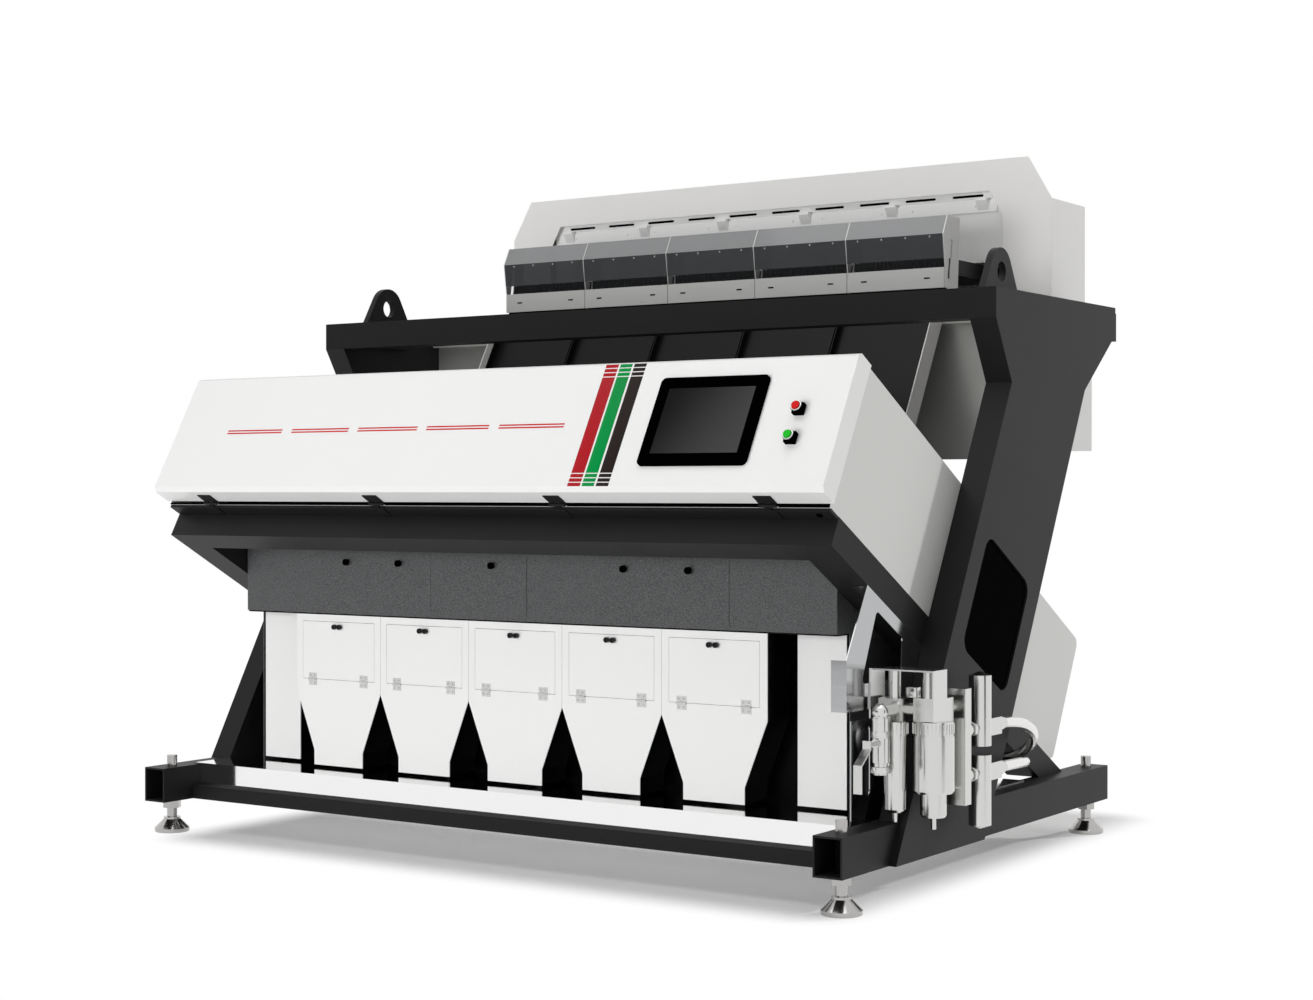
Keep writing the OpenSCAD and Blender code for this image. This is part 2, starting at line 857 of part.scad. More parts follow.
module base_tray() color(steel) difference() {
    union() {
        block([-box_half, tray_y0, beam_z1], [box_half, tray_y1, tray_z1]);
        block([-beam_inner + cut, tray_y0, beam_z0 + cross_w], [beam_inner - cut, tray_y0 + tray_t, tray_z1]);
    }
    for (i = [1:CHUTES], y = [bin_y + funnel_d - slot_d / 2 - 5, accept_y])
        translate([bank_x(i), y, beam_z1 - cut]) linear_extrude(tray_t + 2 * cut)
            slot(slot_w, slot_d);
}

// Polished shields under the right front arm

module shield_window() hull() {
    for (p = [[285, 700], [405, 633], [398, 552], [218, 552]])
        translate(p) circle(12, $fn = 32);
}

module upper_shield() {
    x1 = frame_half;
    x0 = frame_half - shield_t;
    edge_z = shield_z0 + shield_edge_h;
    foot_y = front_y(shield_z0) - shield_t;
    top_y = shield_y0 + 106;
    rear_y = front_y(edge_z + 26) - 2 * shield_t;
    difference() {
        union() {
            along_x(x0, x1) polygon([
                [shield_y0, shield_z0], [shield_y0, edge_z],
                [top_y, under_box_z(top_y, arm_h)], [rear_y, under_box_z(rear_y, arm_h)],
                [foot_y, shield_z0]
            ]);
            block([x0 - shield_fold, shield_y0, shield_z0], [x0, foot_y, shield_z0 + shield_t]);
            block([x0 - shield_fold, shield_y0, shield_z0], [x0, shield_y0 + shield_t, edge_z]);
            leaned() block([x0 - shield_fold, under_arm_y(top_y) + shield_t, arm_z - shield_t],
                           [x0 + cut, under_arm_y(rear_y) - shield_t, arm_z]);
        }
        along_x(x0 - cut, x1 + cut) shield_window();
    }
}

module lower_shield() {
    x1 = frame_half - low_shield_in;
    difference() {
        block([x1 - shield_t, low_shield_y0, tray_z1], [x1, low_shield_y1, low_shield_z1]);
        along_x(x1 - shield_t - cut, x1 + cut)
            translate([low_shield_y0 + low_slot_y, (tray_z1 + low_shield_z1) / 2 + 21])
                rotate(90) slot(low_slot_l, low_slot_w);
    }
}

module side_shields() color(steel) {
    upper_shield();
    lower_shield();
}

module rear_shield() color(steel)
    block([-frame_half, rear_shield_y, rear_shield_z], [frame_half, rear_shield_y + shield_t, rear_beam_z1]);

// Optics

glass_half = bank_half + glass_lap;

// Opening in a box wall that the inspection glass covers
module sight_opening(y0, y1)
    block([-bank_half, y0, glass_z + glass_lap], [bank_half, y1, glass_z + glass_h - glass_lap]);

module front_box() color(grey_paint) leaned() difference() {
    block([-box_half, -box_front, box_z], [box_half, box_rear, box_z + box_h]);
    block([-box_half + sheet, -box_front - cut, box_z + sheet],
          [box_half - sheet, box_rear - sheet, box_z + box_h - sheet]);
    sight_opening(box_rear - sheet - cut, box_rear + cut);
}

module rear_box_section(wall) translate([rear_box_y0 + rear_box_d / 2, rear_box_z + rear_box_h / 2])
    rounded(rear_box_d - 2 * wall, rear_box_h - 2 * wall, rear_box_r - wall);

module rear_box() color(grey_paint) leaned() difference() {
    along_x(-box_half, box_half) rear_box_section(0);
    along_x(-box_half + sheet, box_half - sheet) rear_box_section(sheet);
    sight_opening(rear_box_y0 - cut, rear_box_y0 + sheet + cut);
}

module inspection_glass() color(clear_tint) leaned() for (y = [box_rear, rear_box_y0 - glass_t])
    block([-glass_half, y, glass_z], [glass_half, y + glass_t, glass_z + glass_h]);

// A row of cameras on a rail that looks along +y from the given lens face
module camera_row(lens_y) {
    rail_z = glass_z + (glass_h - camera_h) / 2;
    body_y = lens_y - lens_l;
    block([-box_half + sheet, body_y - camera_l, rail_z - rail_t], [box_half - sheet, body_y, rail_z]);
    for (i = [1:CHUTES]) {
        block([bank_x(i) - camera_w / 2, body_y - camera_l, rail_z],
              [bank_x(i) + camera_w / 2, body_y, rail_z + camera_h]);
        rod_y(lens_d, body_y, lens_y, bank_x(i), rail_z + camera_h / 2);
    }
}

// The rear optics mirror the front ones about the product stream
module both_optics() {
    children();
    translate([0, box_rear + rear_box_y0, 0]) mirror([0, 1, 0]) children();
}

module cameras() color(soft_black) leaned() both_optics() camera_row(box_rear - camera_back);

module lamps() color(white_paint) leaned() both_optics()
    for (z = [glass_z - lamp_d, glass_z + glass_h + lamp_d])
        rod_x(lamp_d, -box_half + sheet, box_half - sheet, box_rear - lamp_back, z);

// Front door and its hinges

module at_hinges() for (x = [-hinge_x2, -hinge_x1, hinge_x1, hinge_x2])
    translate([x, hinge_y, hinge_z]) children();

side_knuckle = hinge_w / 3.3;
mid_knuckle = hinge_w - 2 * side_knuckle - 2 * knuckle_gap;

module knuckle(x0, x1, bore_d) difference() {
    rod_x(knuckle_d, x0, x1, 0, 0);
    rod_x(bore_d, x0 - cut, x1 + cut, 0, 0);
}

// The strip, the fixed leaves that step down onto it, and the pins
module hinge_strip() color(black_paint) leaned() {
    strip_y = -box_front + strip_inset;
    strip_z = box_z - strip_t;
    block([-box_half, strip_y, strip_z], [box_half, strip_y + strip_d, box_z]);
    at_hinges() {
        leaf_z = strip_z - hinge_z;
        back = strip_y - hinge_y;
        difference() {
            union() {
                knuckle(-mid_knuckle / 2, mid_knuckle / 2, hinge_pin_d);
                block([-mid_knuckle / 2, 0, -knuckle_d / 2], [mid_knuckle / 2, back, box_z - hinge_z]);
                block([-mid_knuckle / 2, back - hinge_t, leaf_z - hinge_t], [mid_knuckle / 2, back, box_z - hinge_z]);
                block([-hinge_w / 2, back - hinge_t, leaf_z - hinge_t],
                      [hinge_w / 2, back + hinge_leaf - hinge_t, leaf_z]);
            }
            rod_x(hinge_pin_d + 2 * pin_fit, -hinge_w, hinge_w, 0, 0);
        }
        rod_x(hinge_pin_d, -hinge_w / 2, hinge_w / 2, 0, 0);
    }
}

module door_hinge_leaves() color(black_paint) leaned() at_hinges() difference() {
    union() {
        block([-hinge_w / 2, -hinge_leaf, door_z - hinge_z - hinge_t],
              [hinge_w / 2, -knuckle_d / 2 - knuckle_gap, door_z - hinge_z]);
        for (s = [-1, 1])
            translate([s * (hinge_w - side_knuckle) / 2, 0, 0]) {
                rod_x(knuckle_d, -side_knuckle / 2, side_knuckle / 2, 0, 0);
                block([-side_knuckle / 2, -knuckle_d, door_z - hinge_z - hinge_t],
                      [side_knuckle / 2, 0, door_z - hinge_z]);
            }
    }
    rod_x(hinge_pin_d + 2 * pin_fit, -hinge_w, hinge_w, 0, 0);
}

// Section of the door pan, inset by the wall, open at the back
function door_section(wall, back) =
    let (k = wall * tan(22.5), c = door_chamfer,
         z0 = door_z + wall, z1 = door_z + door_h - wall, y = -door_front + wall)
    [
        [back, z0], [y + c - wall + k, z0], [y, z0 + c - wall + k],
        [y, z1 - c + wall - k], [y + c - wall + k, z1], [back, z1]
    ];

module front_door() color(white_paint) leaned() difference() {
    along_x(-door_half, door_half) polygon(door_section(0, -door_back));
    along_x(-door_half + door_t, door_half - door_t) polygon(door_section(door_t, -door_back + cut));
    along_y(-door_front - cut, -door_back) translate([screen_x, door_z + screen_z])
        square([bezel_w - 2 * bezel_rim + 1, bezel_h - 2 * bezel_rim + 1], center = true);
}

module at_screen() leaned() translate([screen_x, -door_front, door_z + screen_z]) children();

module screen_bezel() color(soft_black) at_screen() difference() {
    union() {
        along_y(-bezel_t, 0) rounded(bezel_w, bezel_h, bezel_r);
        along_y(-bezel_t, screen_d) square([bezel_w - 2 * bezel_rim, bezel_h - 2 * bezel_rim], center = true);
    }
    along_y(-bezel_t - cut, -bezel_t + display_t) square([display_w, display_h], center = true);
}

module screen_glass() color("#0b0c0d") at_screen()
    along_y(-bezel_t, -bezel_t + display_t) square([display_w, display_h], center = true);

module at_button(z) translate([button_x, -door_front, door_z + z]) children();

module button_collars() color(soft_black) leaned() for (z = [button_z1, button_z2]) at_button(z) difference() {
    union() {
        rod_y(collar_d - 4, -collar_l, 0, 0, 0);
        rod_y(collar_d, -collar_l, -collar_l * 0.75, 0, 0);
        block([-collar_d / 2 + 1, -collar_l * 0.6, -collar_d / 2 + 1], [collar_d / 2 - 1, 0, collar_d / 2 - 1]);
    }
    rod_y(cap_d + 2 * cap_fit, -collar_l - cut, cut, 0, 0);
}

module button_cap() rod_y(cap_d, -collar_l - cap_out, -collar_l - cap_out + cap_l, 0, 0);

module button_red() color("#d81f1f") leaned() at_button(button_z1) button_cap();

module button_green() color("#1fae3a") leaned() at_button(button_z2) button_cap();

// Chutes and ejectors

module chutes() color(soft_black) leaned() {
    half = (chute_pitch - chute_gap) / 2;
    for (i = [1:CHUTES]) translate([bank_x(i), 0, 0]) {
        block([-half, chute_y, chute_z0], [half, chute_y + chute_t, chute_z2]);
        for (s = [-1, 1])
            translate([s * (half - chute_t / 2), 0, 0])
                block([-chute_t / 2, chute_y - chute_lip, chute_z0], [chute_t / 2, chute_y, chute_z1]);
    }
}

module chute_rails() color(grey_paint) leaned() {
    back = chute_y + chute_t;
    lap = back + rail_lap;
    both_sides() block([bank_half, lap - side_rail_d, chute_z0], [bank_half + chute_t, lap, chute_z1]);
    for (z = [rear_box_z + rear_box_h + low_bar_up, chute_z1 - top_bar_drop])
        difference() {
            block([-frame_half, back, z], [frame_half, back + chute_bar_d, z + chute_bar_h]);
            both_sides() block([bank_half, back - cut, z - cut], [bank_half + chute_t, lap, z + chute_bar_h + cut]);
        }
}

module ejectors() color(steel) leaned() {
    nozzle_y = arm_tail - nozzle_t;
    z = arm_z + 5;
    block([-arm_in, nozzle_y, z], [arm_in, arm_tail, z + nozzle_h]);
    for (i = [1:CHUTES]) translate([bank_x(i), 0, 0])
        block([-(chute_pitch - ejector_gap) / 2, arm_tail, z],
              [(chute_pitch - ejector_gap) / 2, arm_tail + ejector_d, z + nozzle_h]);
}

// Collection box, funnels and sample doors

module collection_box() color(hammered_grey) {
    block([-bin_half, bin_y, bin_z], [bin_half, bin_y + bin_t, under_box_z(bin_y + bin_t, cut)]);
    both_sides() along_x(bin_half - bin_t, bin_half) polygon([
        [bin_y + bin_t, bin_z], [bin_y + bin_t, under_box_z(bin_y + bin_t, cut)],
        [bin_rear_y, under_box_z(bin_rear_y, arm_h + rear_arm_step)],
        [bin_rear_y, tray_z1], [infill_y, tray_z1], [infill_y, bin_z]
    ]);
}

// Access covers as [left edge, right edge] and their knobs
access_spans = [[-717, -298], [-298, 43], [260, 698]];
access_knob_x = [-611, -413, -75, 371, 577];
access_z0 = bin_z + 12;

module access_covers() color(hammered_grey) for (s = access_spans)
    block([s[0] + 0.5, bin_y - access_t, access_z0], [s[1] - 0.5, bin_y, access_z0 + access_h]);

module access_knobs() color(soft_black) for (x = access_knob_x)
    translate([x, bin_y - access_t, access_z0 + access_h - access_knob_drop]) rotate([90, 0, 0])
        rotate_extrude($fn = round_fn) polygon([
            [0, 0], [access_knob_d / 4, 0], [access_knob_d / 4, access_knob_l / 3],
            [access_knob_d / 2, access_knob_l / 3], [access_knob_d / 2, access_knob_l - 2],
            [access_knob_d / 2 - 2, access_knob_l], [0, access_knob_l]
        ]);

// Front view of a funnel, inset by the wall and drawn past both ends
function funnel_outline(wall, past) =
    let (a = chute_pitch / 2 - funnel_gap - wall, b = neck_w / 2 - wall)
    [
        [-a, shelf_z + past], [a, shelf_z + past], [a, shoulder_z], [b, neck_z],
        [b, funnel_z0 - past], [-b, funnel_z0 - past], [-b, neck_z], [-a, shoulder_z]
    ];

module reject_funnels() color(white_paint) for (i = [1:CHUTES]) translate([bank_x(i), 0, 0]) difference() {
    along_y(bin_y, bin_y + funnel_d) polygon(funnel_outline(0, 0));
    along_y(bin_y + funnel_t, bin_y + funnel_d - funnel_t) polygon(funnel_outline(funnel_t, cut));
    block([-sample_w / 2 - sample_gap, bin_y - cut, sample_z0 - sample_gap],
          [sample_w / 2 + sample_gap, bin_y + funnel_t + cut, sample_z1 + sample_gap]);
}

module back_apron() color(soft_black) difference() {
    union() {
        block([-bin_half + bin_t, apron_y, tray_z1], [bin_half - bin_t, apron_y + bin_t, bin_z]);
        block([-bin_half + bin_t, bin_y + bin_t, shelf_z], [bin_half - bin_t, apron_y, bin_z]);
    }
    for (i = [1:CHUTES]) translate([bank_x(i), 0, 0])
        block([-chute_pitch / 2 + 4, bin_y + 2 * bin_t, shelf_z - cut],
              [chute_pitch / 2 - 4, bin_y + funnel_d - funnel_t, bin_z + cut]);
}

module infill_panels() color(white_paint) both_sides()
    block([bank_half + infill_in, infill_y, tray_z1 + infill_gap],
          [bin_half - bin_t - infill_out, infill_y + bin_t, shelf_z]);

sample_axis_y = bin_y - sample_knuckle_d / 2 - sample_fit;
sample_axis_z = sample_z0 - sample_gap;
sample_mid = sample_hinge_w / 2.5;
sample_side = (sample_hinge_w - sample_mid) / 2 - knuckle_gap;

module at_sample_hinges(i) for (s = [-1, 1])
    translate([bank_x(i) + s * sample_hinge_x, sample_axis_y, sample_axis_z]) children();

module sample_knuckle(w, x) difference() {
    translate([x, 0, 0]) {
        rod_x(sample_knuckle_d, -w / 2, w / 2, 0, 0);
        children();
    }
    rod_x(sample_pin_d + 2 * pin_fit, x - w, x + w, 0, 0);
}

sample_face = bin_y - sample_axis_y;

// Fixed leaves and pins on the funnel fronts
module sample_hinges() color(steel) for (i = [1:CHUTES]) at_sample_hinges(i) {
    side_x = (sample_hinge_w - sample_side) / 2;
    leaf_z = -sample_knuckle_d / 2 - 1;
    union() {
        for (s = [-1, 1])
            sample_knuckle(sample_side, s * side_x)
                block([-sample_side / 2, sample_face - sample_leaf_t, leaf_z - cut],
                      [sample_side / 2, sample_face, 0]);
        block([-sample_hinge_w / 2, sample_face - sample_leaf_t, leaf_z - sample_leaf],
              [sample_hinge_w / 2, sample_face, leaf_z]);
    }
    rod_x(sample_pin_d, -sample_hinge_w / 2, sample_hinge_w / 2, 0, 0);
}

module sample_door(i) {
    color(white_paint) translate([bank_x(i), 0, 0]) {
        block([-sample_w / 2, bin_y, sample_z0], [sample_w / 2, bin_y + funnel_t, sample_z1]);
        for (s = [-1, 1])
            translate([s * sample_knob_x / 2, bin_y, sample_z1 - sample_knob_drop]) rotate([90, 0, 0])
                rotate_extrude($fn = round_fn) polygon([
                    [0, 0], [sample_knob_d / 3, 0], [sample_knob_d / 3, 3], [sample_knob_d / 2, 3],
                    [sample_knob_d / 2, sample_knob_l - 2], [sample_knob_d / 2 - 2, sample_knob_l], [0, sample_knob_l]
                ]);
    }
    color(steel) at_sample_hinges(i) {
        leaf_z = sample_knuckle_d / 2 + 1;
        union() {
            sample_knuckle(sample_mid, 0)
                block([-sample_mid / 2, sample_face - sample_leaf_t, 0], [sample_mid / 2, sample_face, leaf_z + cut]);
            block([-sample_hinge_w / 2, sample_face - sample_leaf_t, leaf_z],
                  [sample_hinge_w / 2, sample_face, leaf_z + sample_leaf]);
        }
    }
}

module sample_door_1() sample_door(1);

module sample_door_2() sample_door(2);

module sample_door_3() sample_door(3);

module sample_door_4() sample_door(4);

module sample_door_5() sample_door(5);

// Section of the accept trough, inset by the wall and drawn past both ends
function accept_outline(wall, past) = [
    [apron_y + bin_t + wall, accept_z1 + past], [bin_rear_y - bin_t - wall, accept_z1 + past],
    [accept_y + accept_mouth / 2 - wall, neck_z], [accept_y + accept_mouth / 2 - wall, funnel_z0 - past],
    [accept_y - accept_mouth / 2 + wall, funnel_z0 - past], [accept_y - accept_mouth / 2 + wall, neck_z]
];

module accept_trough() color(white_paint) {
    half = bin_half - bin_t;
    difference() {
        along_x(-half, half) polygon(accept_outline(0, 0));
        along_x(-half + funnel_t, half - funnel_t) polygon(accept_outline(funnel_t, cut));
    }
}

// Feeders under the hood

bed_half = bank_half + divider_t;

module feeder_bed() color(black_paint) {
    block([-bed_half, rear_shield_y, rear_beam_z1], [bed_half, hopper_y1, bed_z1]);
    for (x = [0:CHUTES]) translate([bank_x(x + 0.5), 0, 0]) along_x(-divider_t / 2, divider_t / 2) difference() {
        polygon([
            [feeder_y + feeder_plate_t, feeder_plate_z],
            [feeder_y + feeder_plate_t, feeder_plate_z + feeder_plate_h],
            [feeder_y - visor_bulge, visor_bend_z], [feeder_y + visor_back, visor_z1],
            [feeder_y + visor_back + 82, visor_z1], [feeder_y + 82, bed_z1], [rear_shield_y, bed_z1],
            [rear_shield_y, feeder_plate_z]
        ]);
        translate([feeder_y + 34, feeder_plate_z + 85]) rotate(81) slot(120, 14);
    }
}

module feeder_drives() color(soft_black) for (i = [1:CHUTES]) translate([bank_x(i), 0, 0]) {
    block([-magnet_w / 2, magnet_y - magnet_d / 2, bed_z1],
          [magnet_w / 2, magnet_y + magnet_d / 2, bed_z1 + magnet_h]);
    for (y = [magnet_y - spring_off, magnet_y + spring_off]) along_x(-spring_w / 2, spring_w / 2) polygon([
        [y + spring_slant, bed_z1], [y, feeder_tray_z], [y + spring_t, feeder_tray_z],
        [y + spring_slant + spring_t, bed_z1]
    ]);
}

module feeder_tray(i) color(soft_black) translate([bank_x(i), 0, 0]) {
    half = chute_pitch / 2 - divider_t / 2 - feeder_tray_gap;
    t = feeder_tray_t;
    z0 = feeder_tray_z;
    step = (2 * half - 2 * t) / groove_count;
    difference() {
        block([-half, feeder_tray_y0, z0], [half, feeder_tray_y1, z0 + feeder_tray_h]);
        block([-half + t, feeder_tray_y0 - cut, z0 + t], [half - t, feeder_tray_y1 - t, z0 + feeder_tray_h + cut]);
    }
    along_y(feeder_tray_y0, feeder_tray_y0 + groove_l)
        for (k = [1:groove_count - 1])
            translate([-half + t + k * step - groove_rib / 2, z0 + t / 2]) square([groove_rib, feeder_tray_h]);
    block([-magnet_w / 3, magnet_y - magnet_d / 4, z0 - armature_h], [magnet_w / 3, magnet_y + magnet_d / 4, z0]);
}

module feeder_tray_1() feeder_tray(1);

module feeder_tray_2() feeder_tray(2);

module feeder_tray_3() feeder_tray(3);

module feeder_tray_4() feeder_tray(4);

module feeder_tray_5() feeder_tray(5);

module feeder_plates() color(steel) for (i = [1:CHUTES]) translate([bank_x(i), 0, 0])
    block([-(chute_pitch - feeder_plate_gap) / 2, feeder_y, feeder_plate_z],
          [(chute_pitch - feeder_plate_gap) / 2, feeder_y + feeder_plate_t, feeder_plate_z + feeder_plate_h]);

module feeder_visors() color(clear_tint) {
    half = chute_pitch / 2 - divider_t / 2 - visor_gap;
    z0 = feeder_plate_z + feeder_plate_h;
    for (i = [1:CHUTES]) translate([bank_x(i), 0, 0]) along_x(-half, half) polygon([
        [feeder_y, z0], [feeder_y - visor_bulge, visor_bend_z], [feeder_y + visor_back, visor_z1],
        [feeder_y + visor_back + visor_t, visor_z1], [feeder_y - visor_bulge + visor_t, visor_bend_z],
        [feeder_y + visor_t, z0]
    ]);
}

// Feed hood, hopper and rear cabinet

// Front plate with its mouth, and the lower body behind it that carries the bin
module feed_hood() color(grey_paint) {
    mouth = bank_half + mouth_room;
    z0 = rear_beam_z1;
    back = hood_y + hood_d;
    difference() {
        union() {
            along_y(hood_y, hood_y + sheet) polygon([
                [-hood_half, z0], [-hood_half, hood_eave_z], [-hood_half + hood_slope, hood_z1],
                [hood_half - hood_slope, hood_z1], [hood_half, hood_eave_z], [hood_half, z0]
            ]);
            block([-hood_half, hood_y, z0], [hood_half, back, hood_eave_z]);
        }
        block([-hood_half + sheet, hood_y + sheet, z0 - cut], [hood_half - sheet, back - sheet, hood_eave_z - sheet]);
        along_y(hood_y - cut, hood_y + sheet + cut) polygon([
            [-mouth, z0 - cut], [-mouth, mouth_eave_z], [-mouth + mouth_slope, mouth_z1],
            [mouth - mouth_slope, mouth_z1], [mouth, mouth_eave_z], [mouth, z0 - cut]
        ]);
        block([-hopper_half - bin_fit, hood_y + sheet, hood_eave_z - 2 * sheet],
              [hopper_half + bin_fit, hopper_y1 + bin_fit, hood_eave_z + cut]);
    }
}

// Section of the bin, inset by the wall and drawn past both ends
function hopper_outline(wall, past) =
    let (top = hood_z1 + inlet_rim_h + past, low = hopper_out_z - past)
    [
        [hopper_y0 + wall, low], [hopper_y0 + wall, top], [hopper_y1 - wall, top],
        [hopper_y1 - wall, hood_eave_z], [hopper_out_y - wall, low]
    ];

// Bin that hangs in the roof of the hood by its flange
module hopper_bin() color(white_paint) {
    difference() {
        union() {
            along_x(-hopper_half, hopper_half) polygon(hopper_outline(0, 0));
            block([-hopper_half - bin_flange, hopper_y0, hood_eave_z],
                  [hopper_half + bin_flange, hopper_y1 + bin_flange, hood_eave_z + sheet]);
        }
        along_x(-hopper_half + sheet, hopper_half - sheet) polygon(hopper_outline(sheet, cut));
    }
}

// Gate bar, slotted strip and their brackets on the front of the bin
module hopper_gates() color(white_paint) {
    difference() {
        block([-hopper_half + 20, hopper_y0 - gate_t, gate_z], [hopper_half - 20, hopper_y0, gate_z + gate_h]);
        for (i = [1:CHUTES], s = [-1, 1])
            rod_y(gate_hole_d, hopper_y0 - gate_t - cut, hopper_y0 + cut,
                  bank_x(i) + s * chute_pitch / 3, gate_z + gate_h / 2);
    }
    difference() {
        block([-bank_half, hopper_y0 - gate_t, slat_z], [bank_half, hopper_y0, slat_z + slat_h]);
        for (i = [1:CHUTES], s = [-1, 1])
            along_y(hopper_y0 - gate_t - cut, hopper_y0 + cut)
                translate([bank_x(i) + s * chute_pitch / 4, slat_z + slat_h / 2])
                    slot(slat_slot_l, slat_slot_w);
    }
    for (i = [0:CHUTES]) translate([bank_x(i + 0.5) * (1 - 30 / bank_half), 0, 0])
        along_x(-18, 18) polygon([
            [hopper_y0 - gate_t, gate_z + 6], [hopper_y0 - gate_t - 18, gate_z + gate_h],
            [hopper_y0 - gate_t - 18, slat_z], [hopper_y0 - gate_t, slat_z]
        ]);
}

module rear_cabinet() color(grey_paint) {
    y1 = cabinet_y + cabinet_d;
    difference() {
        block([-cabinet_half, cabinet_y, cabinet_z], [cabinet_half, y1, rear_beam_z1]);
        block([-cabinet_half + sheet, cabinet_y + sheet, cabinet_z + sheet],
              [cabinet_half - sheet, y1 + cut, rear_beam_z1 - sheet]);
    }
    for (s = [-1, 1]) translate([s * cabinet_half / 2, 0, 0])
        block([-cabinet_half / 2 + 1, y1, cabinet_z], [cabinet_half / 2 - 1, y1 + cabinet_cover_t, rear_beam_z1]);
    for (x = [-0.6, 0, 0.6])
        translate([x * cabinet_half, 0, cabinet_z + sheet])
            block([-cabinet_half / 5, cabinet_y + sheet, module_up],
                  [cabinet_half / 5, cabinet_y + sheet + module_d, module_up + module_h]);
    rod_z(gland_d, cabinet_z - gland_l, cabinet_z, cabinet_half - gland_in, cabinet_y + cabinet_d / 2);
}

// Air treatment unit on the right-hand side

module air_unit() color(steel) {
    collar_z = bowl_z1 + bowl_collar_h;
    head_z1 = collar_z + head_h;
    inner_z = bracket_z - bracket_t;
    drain_z = beam_z1 + drain_gap;
    cup_z = tank_filter_z0 - cup_h;
    // bracket that hangs beside the upper shield
    difference() {
        block([frame_half, bracket_y, bracket_z - bracket_leg], [bracket_x, bracket_y + bracket_d, bracket_z]);
        block([frame_half + bracket_t, bracket_y - cut, bracket_z - bracket_leg - cut],
              [bracket_x - bracket_t, bracket_y + bracket_d + cut, inner_z]);
    }
    // small filter with its head, bowl and drain
    translate([filter_at, filter_y, 0]) {
        block([-filter_d / 2, -filter_d / 2, collar_z], [filter_d / 2, tank_filter_y - filter_y, head_z1]);
        rod_z(pipe_d, head_z1, inner_z, 0, 0);
        rod_z(filter_d + 4, bowl_z1, collar_z, 0, 0);
        rotate_extrude($fn = round_fn) polygon([
            [0, drain_z], [drain_d / 2, drain_z], [drain_d / 2, filter_z0], [filter_d / 2 - 10, filter_z0],
            [filter_d / 2 - 3, filter_z0 + 8], [filter_d / 2, bowl_z1], [0, bowl_z1]
        ]);
    }
    // large filter with its head, bowl, cup and drain
    translate([tank_filter_at, tank_filter_y, 0]) {
        block([-head_half, -head_half_d, collar_z], [head_half, head_half_d, head_z1]);
        rod_z(pipe_d, head_z1, inner_z, 0, -pipe_off);
        rod_z(tank_filter_d - 4, bowl_z1, collar_z, 0, 0);
        rotate_extrude($fn = round_fn) polygon([
            [0, cup_z - drain_l], [drain_d / 2, cup_z - drain_l], [drain_d / 2, cup_z],
            [cup_d / 2 - 4, cup_z], [cup_d / 2, cup_z + 6], [cup_d / 2, tank_filter_z0],
            [tank_filter_d / 2 - 4, tank_filter_z0], [tank_filter_d / 2, tank_filter_z0 + 6],
            [tank_filter_d / 2, bowl_z1], [0, bowl_z1]
        ]);
    }
    rod_x(pipe_d, filter_at + filter_d / 2, tank_filter_at - head_half, tank_filter_y - pipe_off, pipe_z);
    rod_y(pipe_d, tank_filter_y + head_half_d, channel_y, air_valve_at, pipe_z);
    ball_valve();
    // channel that feeds the two air valves
    block([air_outer - channel_w, channel_y, channel_z0], [air_outer, channel_back, channel_z1]);
}

// Ball valve with its inlet bore, the stem seat and the elbow to the small filter
module ball_valve() difference() {
    union() {
        rod_z(valve_d - 8, valve_z0, stem_z - valve_d / 2, filter_at, valve_y);
        rod_z(valve_d, valve_z0 + inlet_l, pipe_z - pipe_d / 2, filter_at, valve_y);
        rod_y(stem_d + 12, valve_y - valve_d / 2 - 8, valve_y, filter_at, stem_z);
        translate([filter_at, valve_y, pipe_z]) sphere(d = valve_d, $fn = round_fn);
        rod_z(valve_d - 6, pipe_z - pipe_d, pipe_z, filter_at, valve_y);
        rod_y(pipe_d, valve_y, filter_y - filter_d / 2, filter_at, pipe_z);
    }
    rod_z(inlet_d, valve_z0 - cut, valve_z0 + inlet_l, filter_at, valve_y);
    rod_y(stem_d + 2 * stem_fit, valve_y - valve_d / 2 - 8 - cut, valve_y - valve_d / 2 + 4, filter_at, stem_z);
}

// Stem, hub and cranked lever of the ball valve
module valve_lever() color(steel) {
    seat_y = valve_y - valve_d / 2 + 4;
    tip_y = stem_y - lever_out;
    rod_y(stem_d, stem_y, seat_y, filter_at, stem_z);
    rod_y(stem_d + 12, stem_y, stem_y + 8, filter_at, stem_z);
    along_x(filter_at - lever_w / 2, filter_at + lever_w / 2) polygon([
        [stem_y + lever_t, stem_z + lever_w / 2], [stem_y + lever_t, stem_z - lever_w / 2],
        [tip_y + lever_t, stem_z - lever_out], [tip_y + lever_t, stem_z - lever_l], [tip_y, stem_z - lever_l],
        [tip_y, stem_z - lever_out + 3], [stem_y, stem_z - lever_w / 2 + 3], [stem_y, stem_z + lever_w / 2]
    ]);
}

// One air valve: body with pointed cap, port to the channel and outlet block
module air_valve(z, port_h, cap_up) {
    r = air_valve_d / 2;
    low = cap_up ? 0 : -air_cap_h;
    top = air_valve_l + (cap_up ? air_cap_h : 0);
    translate([air_valve_at, air_valve_y, z]) rotate_extrude($fn = round_fn) polygon([
        [0, low], [cap_up ? r : 4, low], [r, 0], [r, air_valve_l], [cap_up ? 4 : r, top], [0, top]
    ]);
    rod_y(pipe_d - 4, channel_back, air_valve_y, air_valve_at, z + port_h);
    rod_y(pipe_d + 8, channel_back + 30, channel_back + 62, air_valve_at, z + port_h);
    block([air_valve_at - outlet_w / 2, air_valve_y, z + port_h - outlet_w / 2],
          [air_valve_at + outlet_w / 2, outlet_y, z + port_h + outlet_w / 2]);
}

upper_port_z = upper_valve_z + upper_port_h;
lower_port_z = lower_valve_z + lower_port_h;

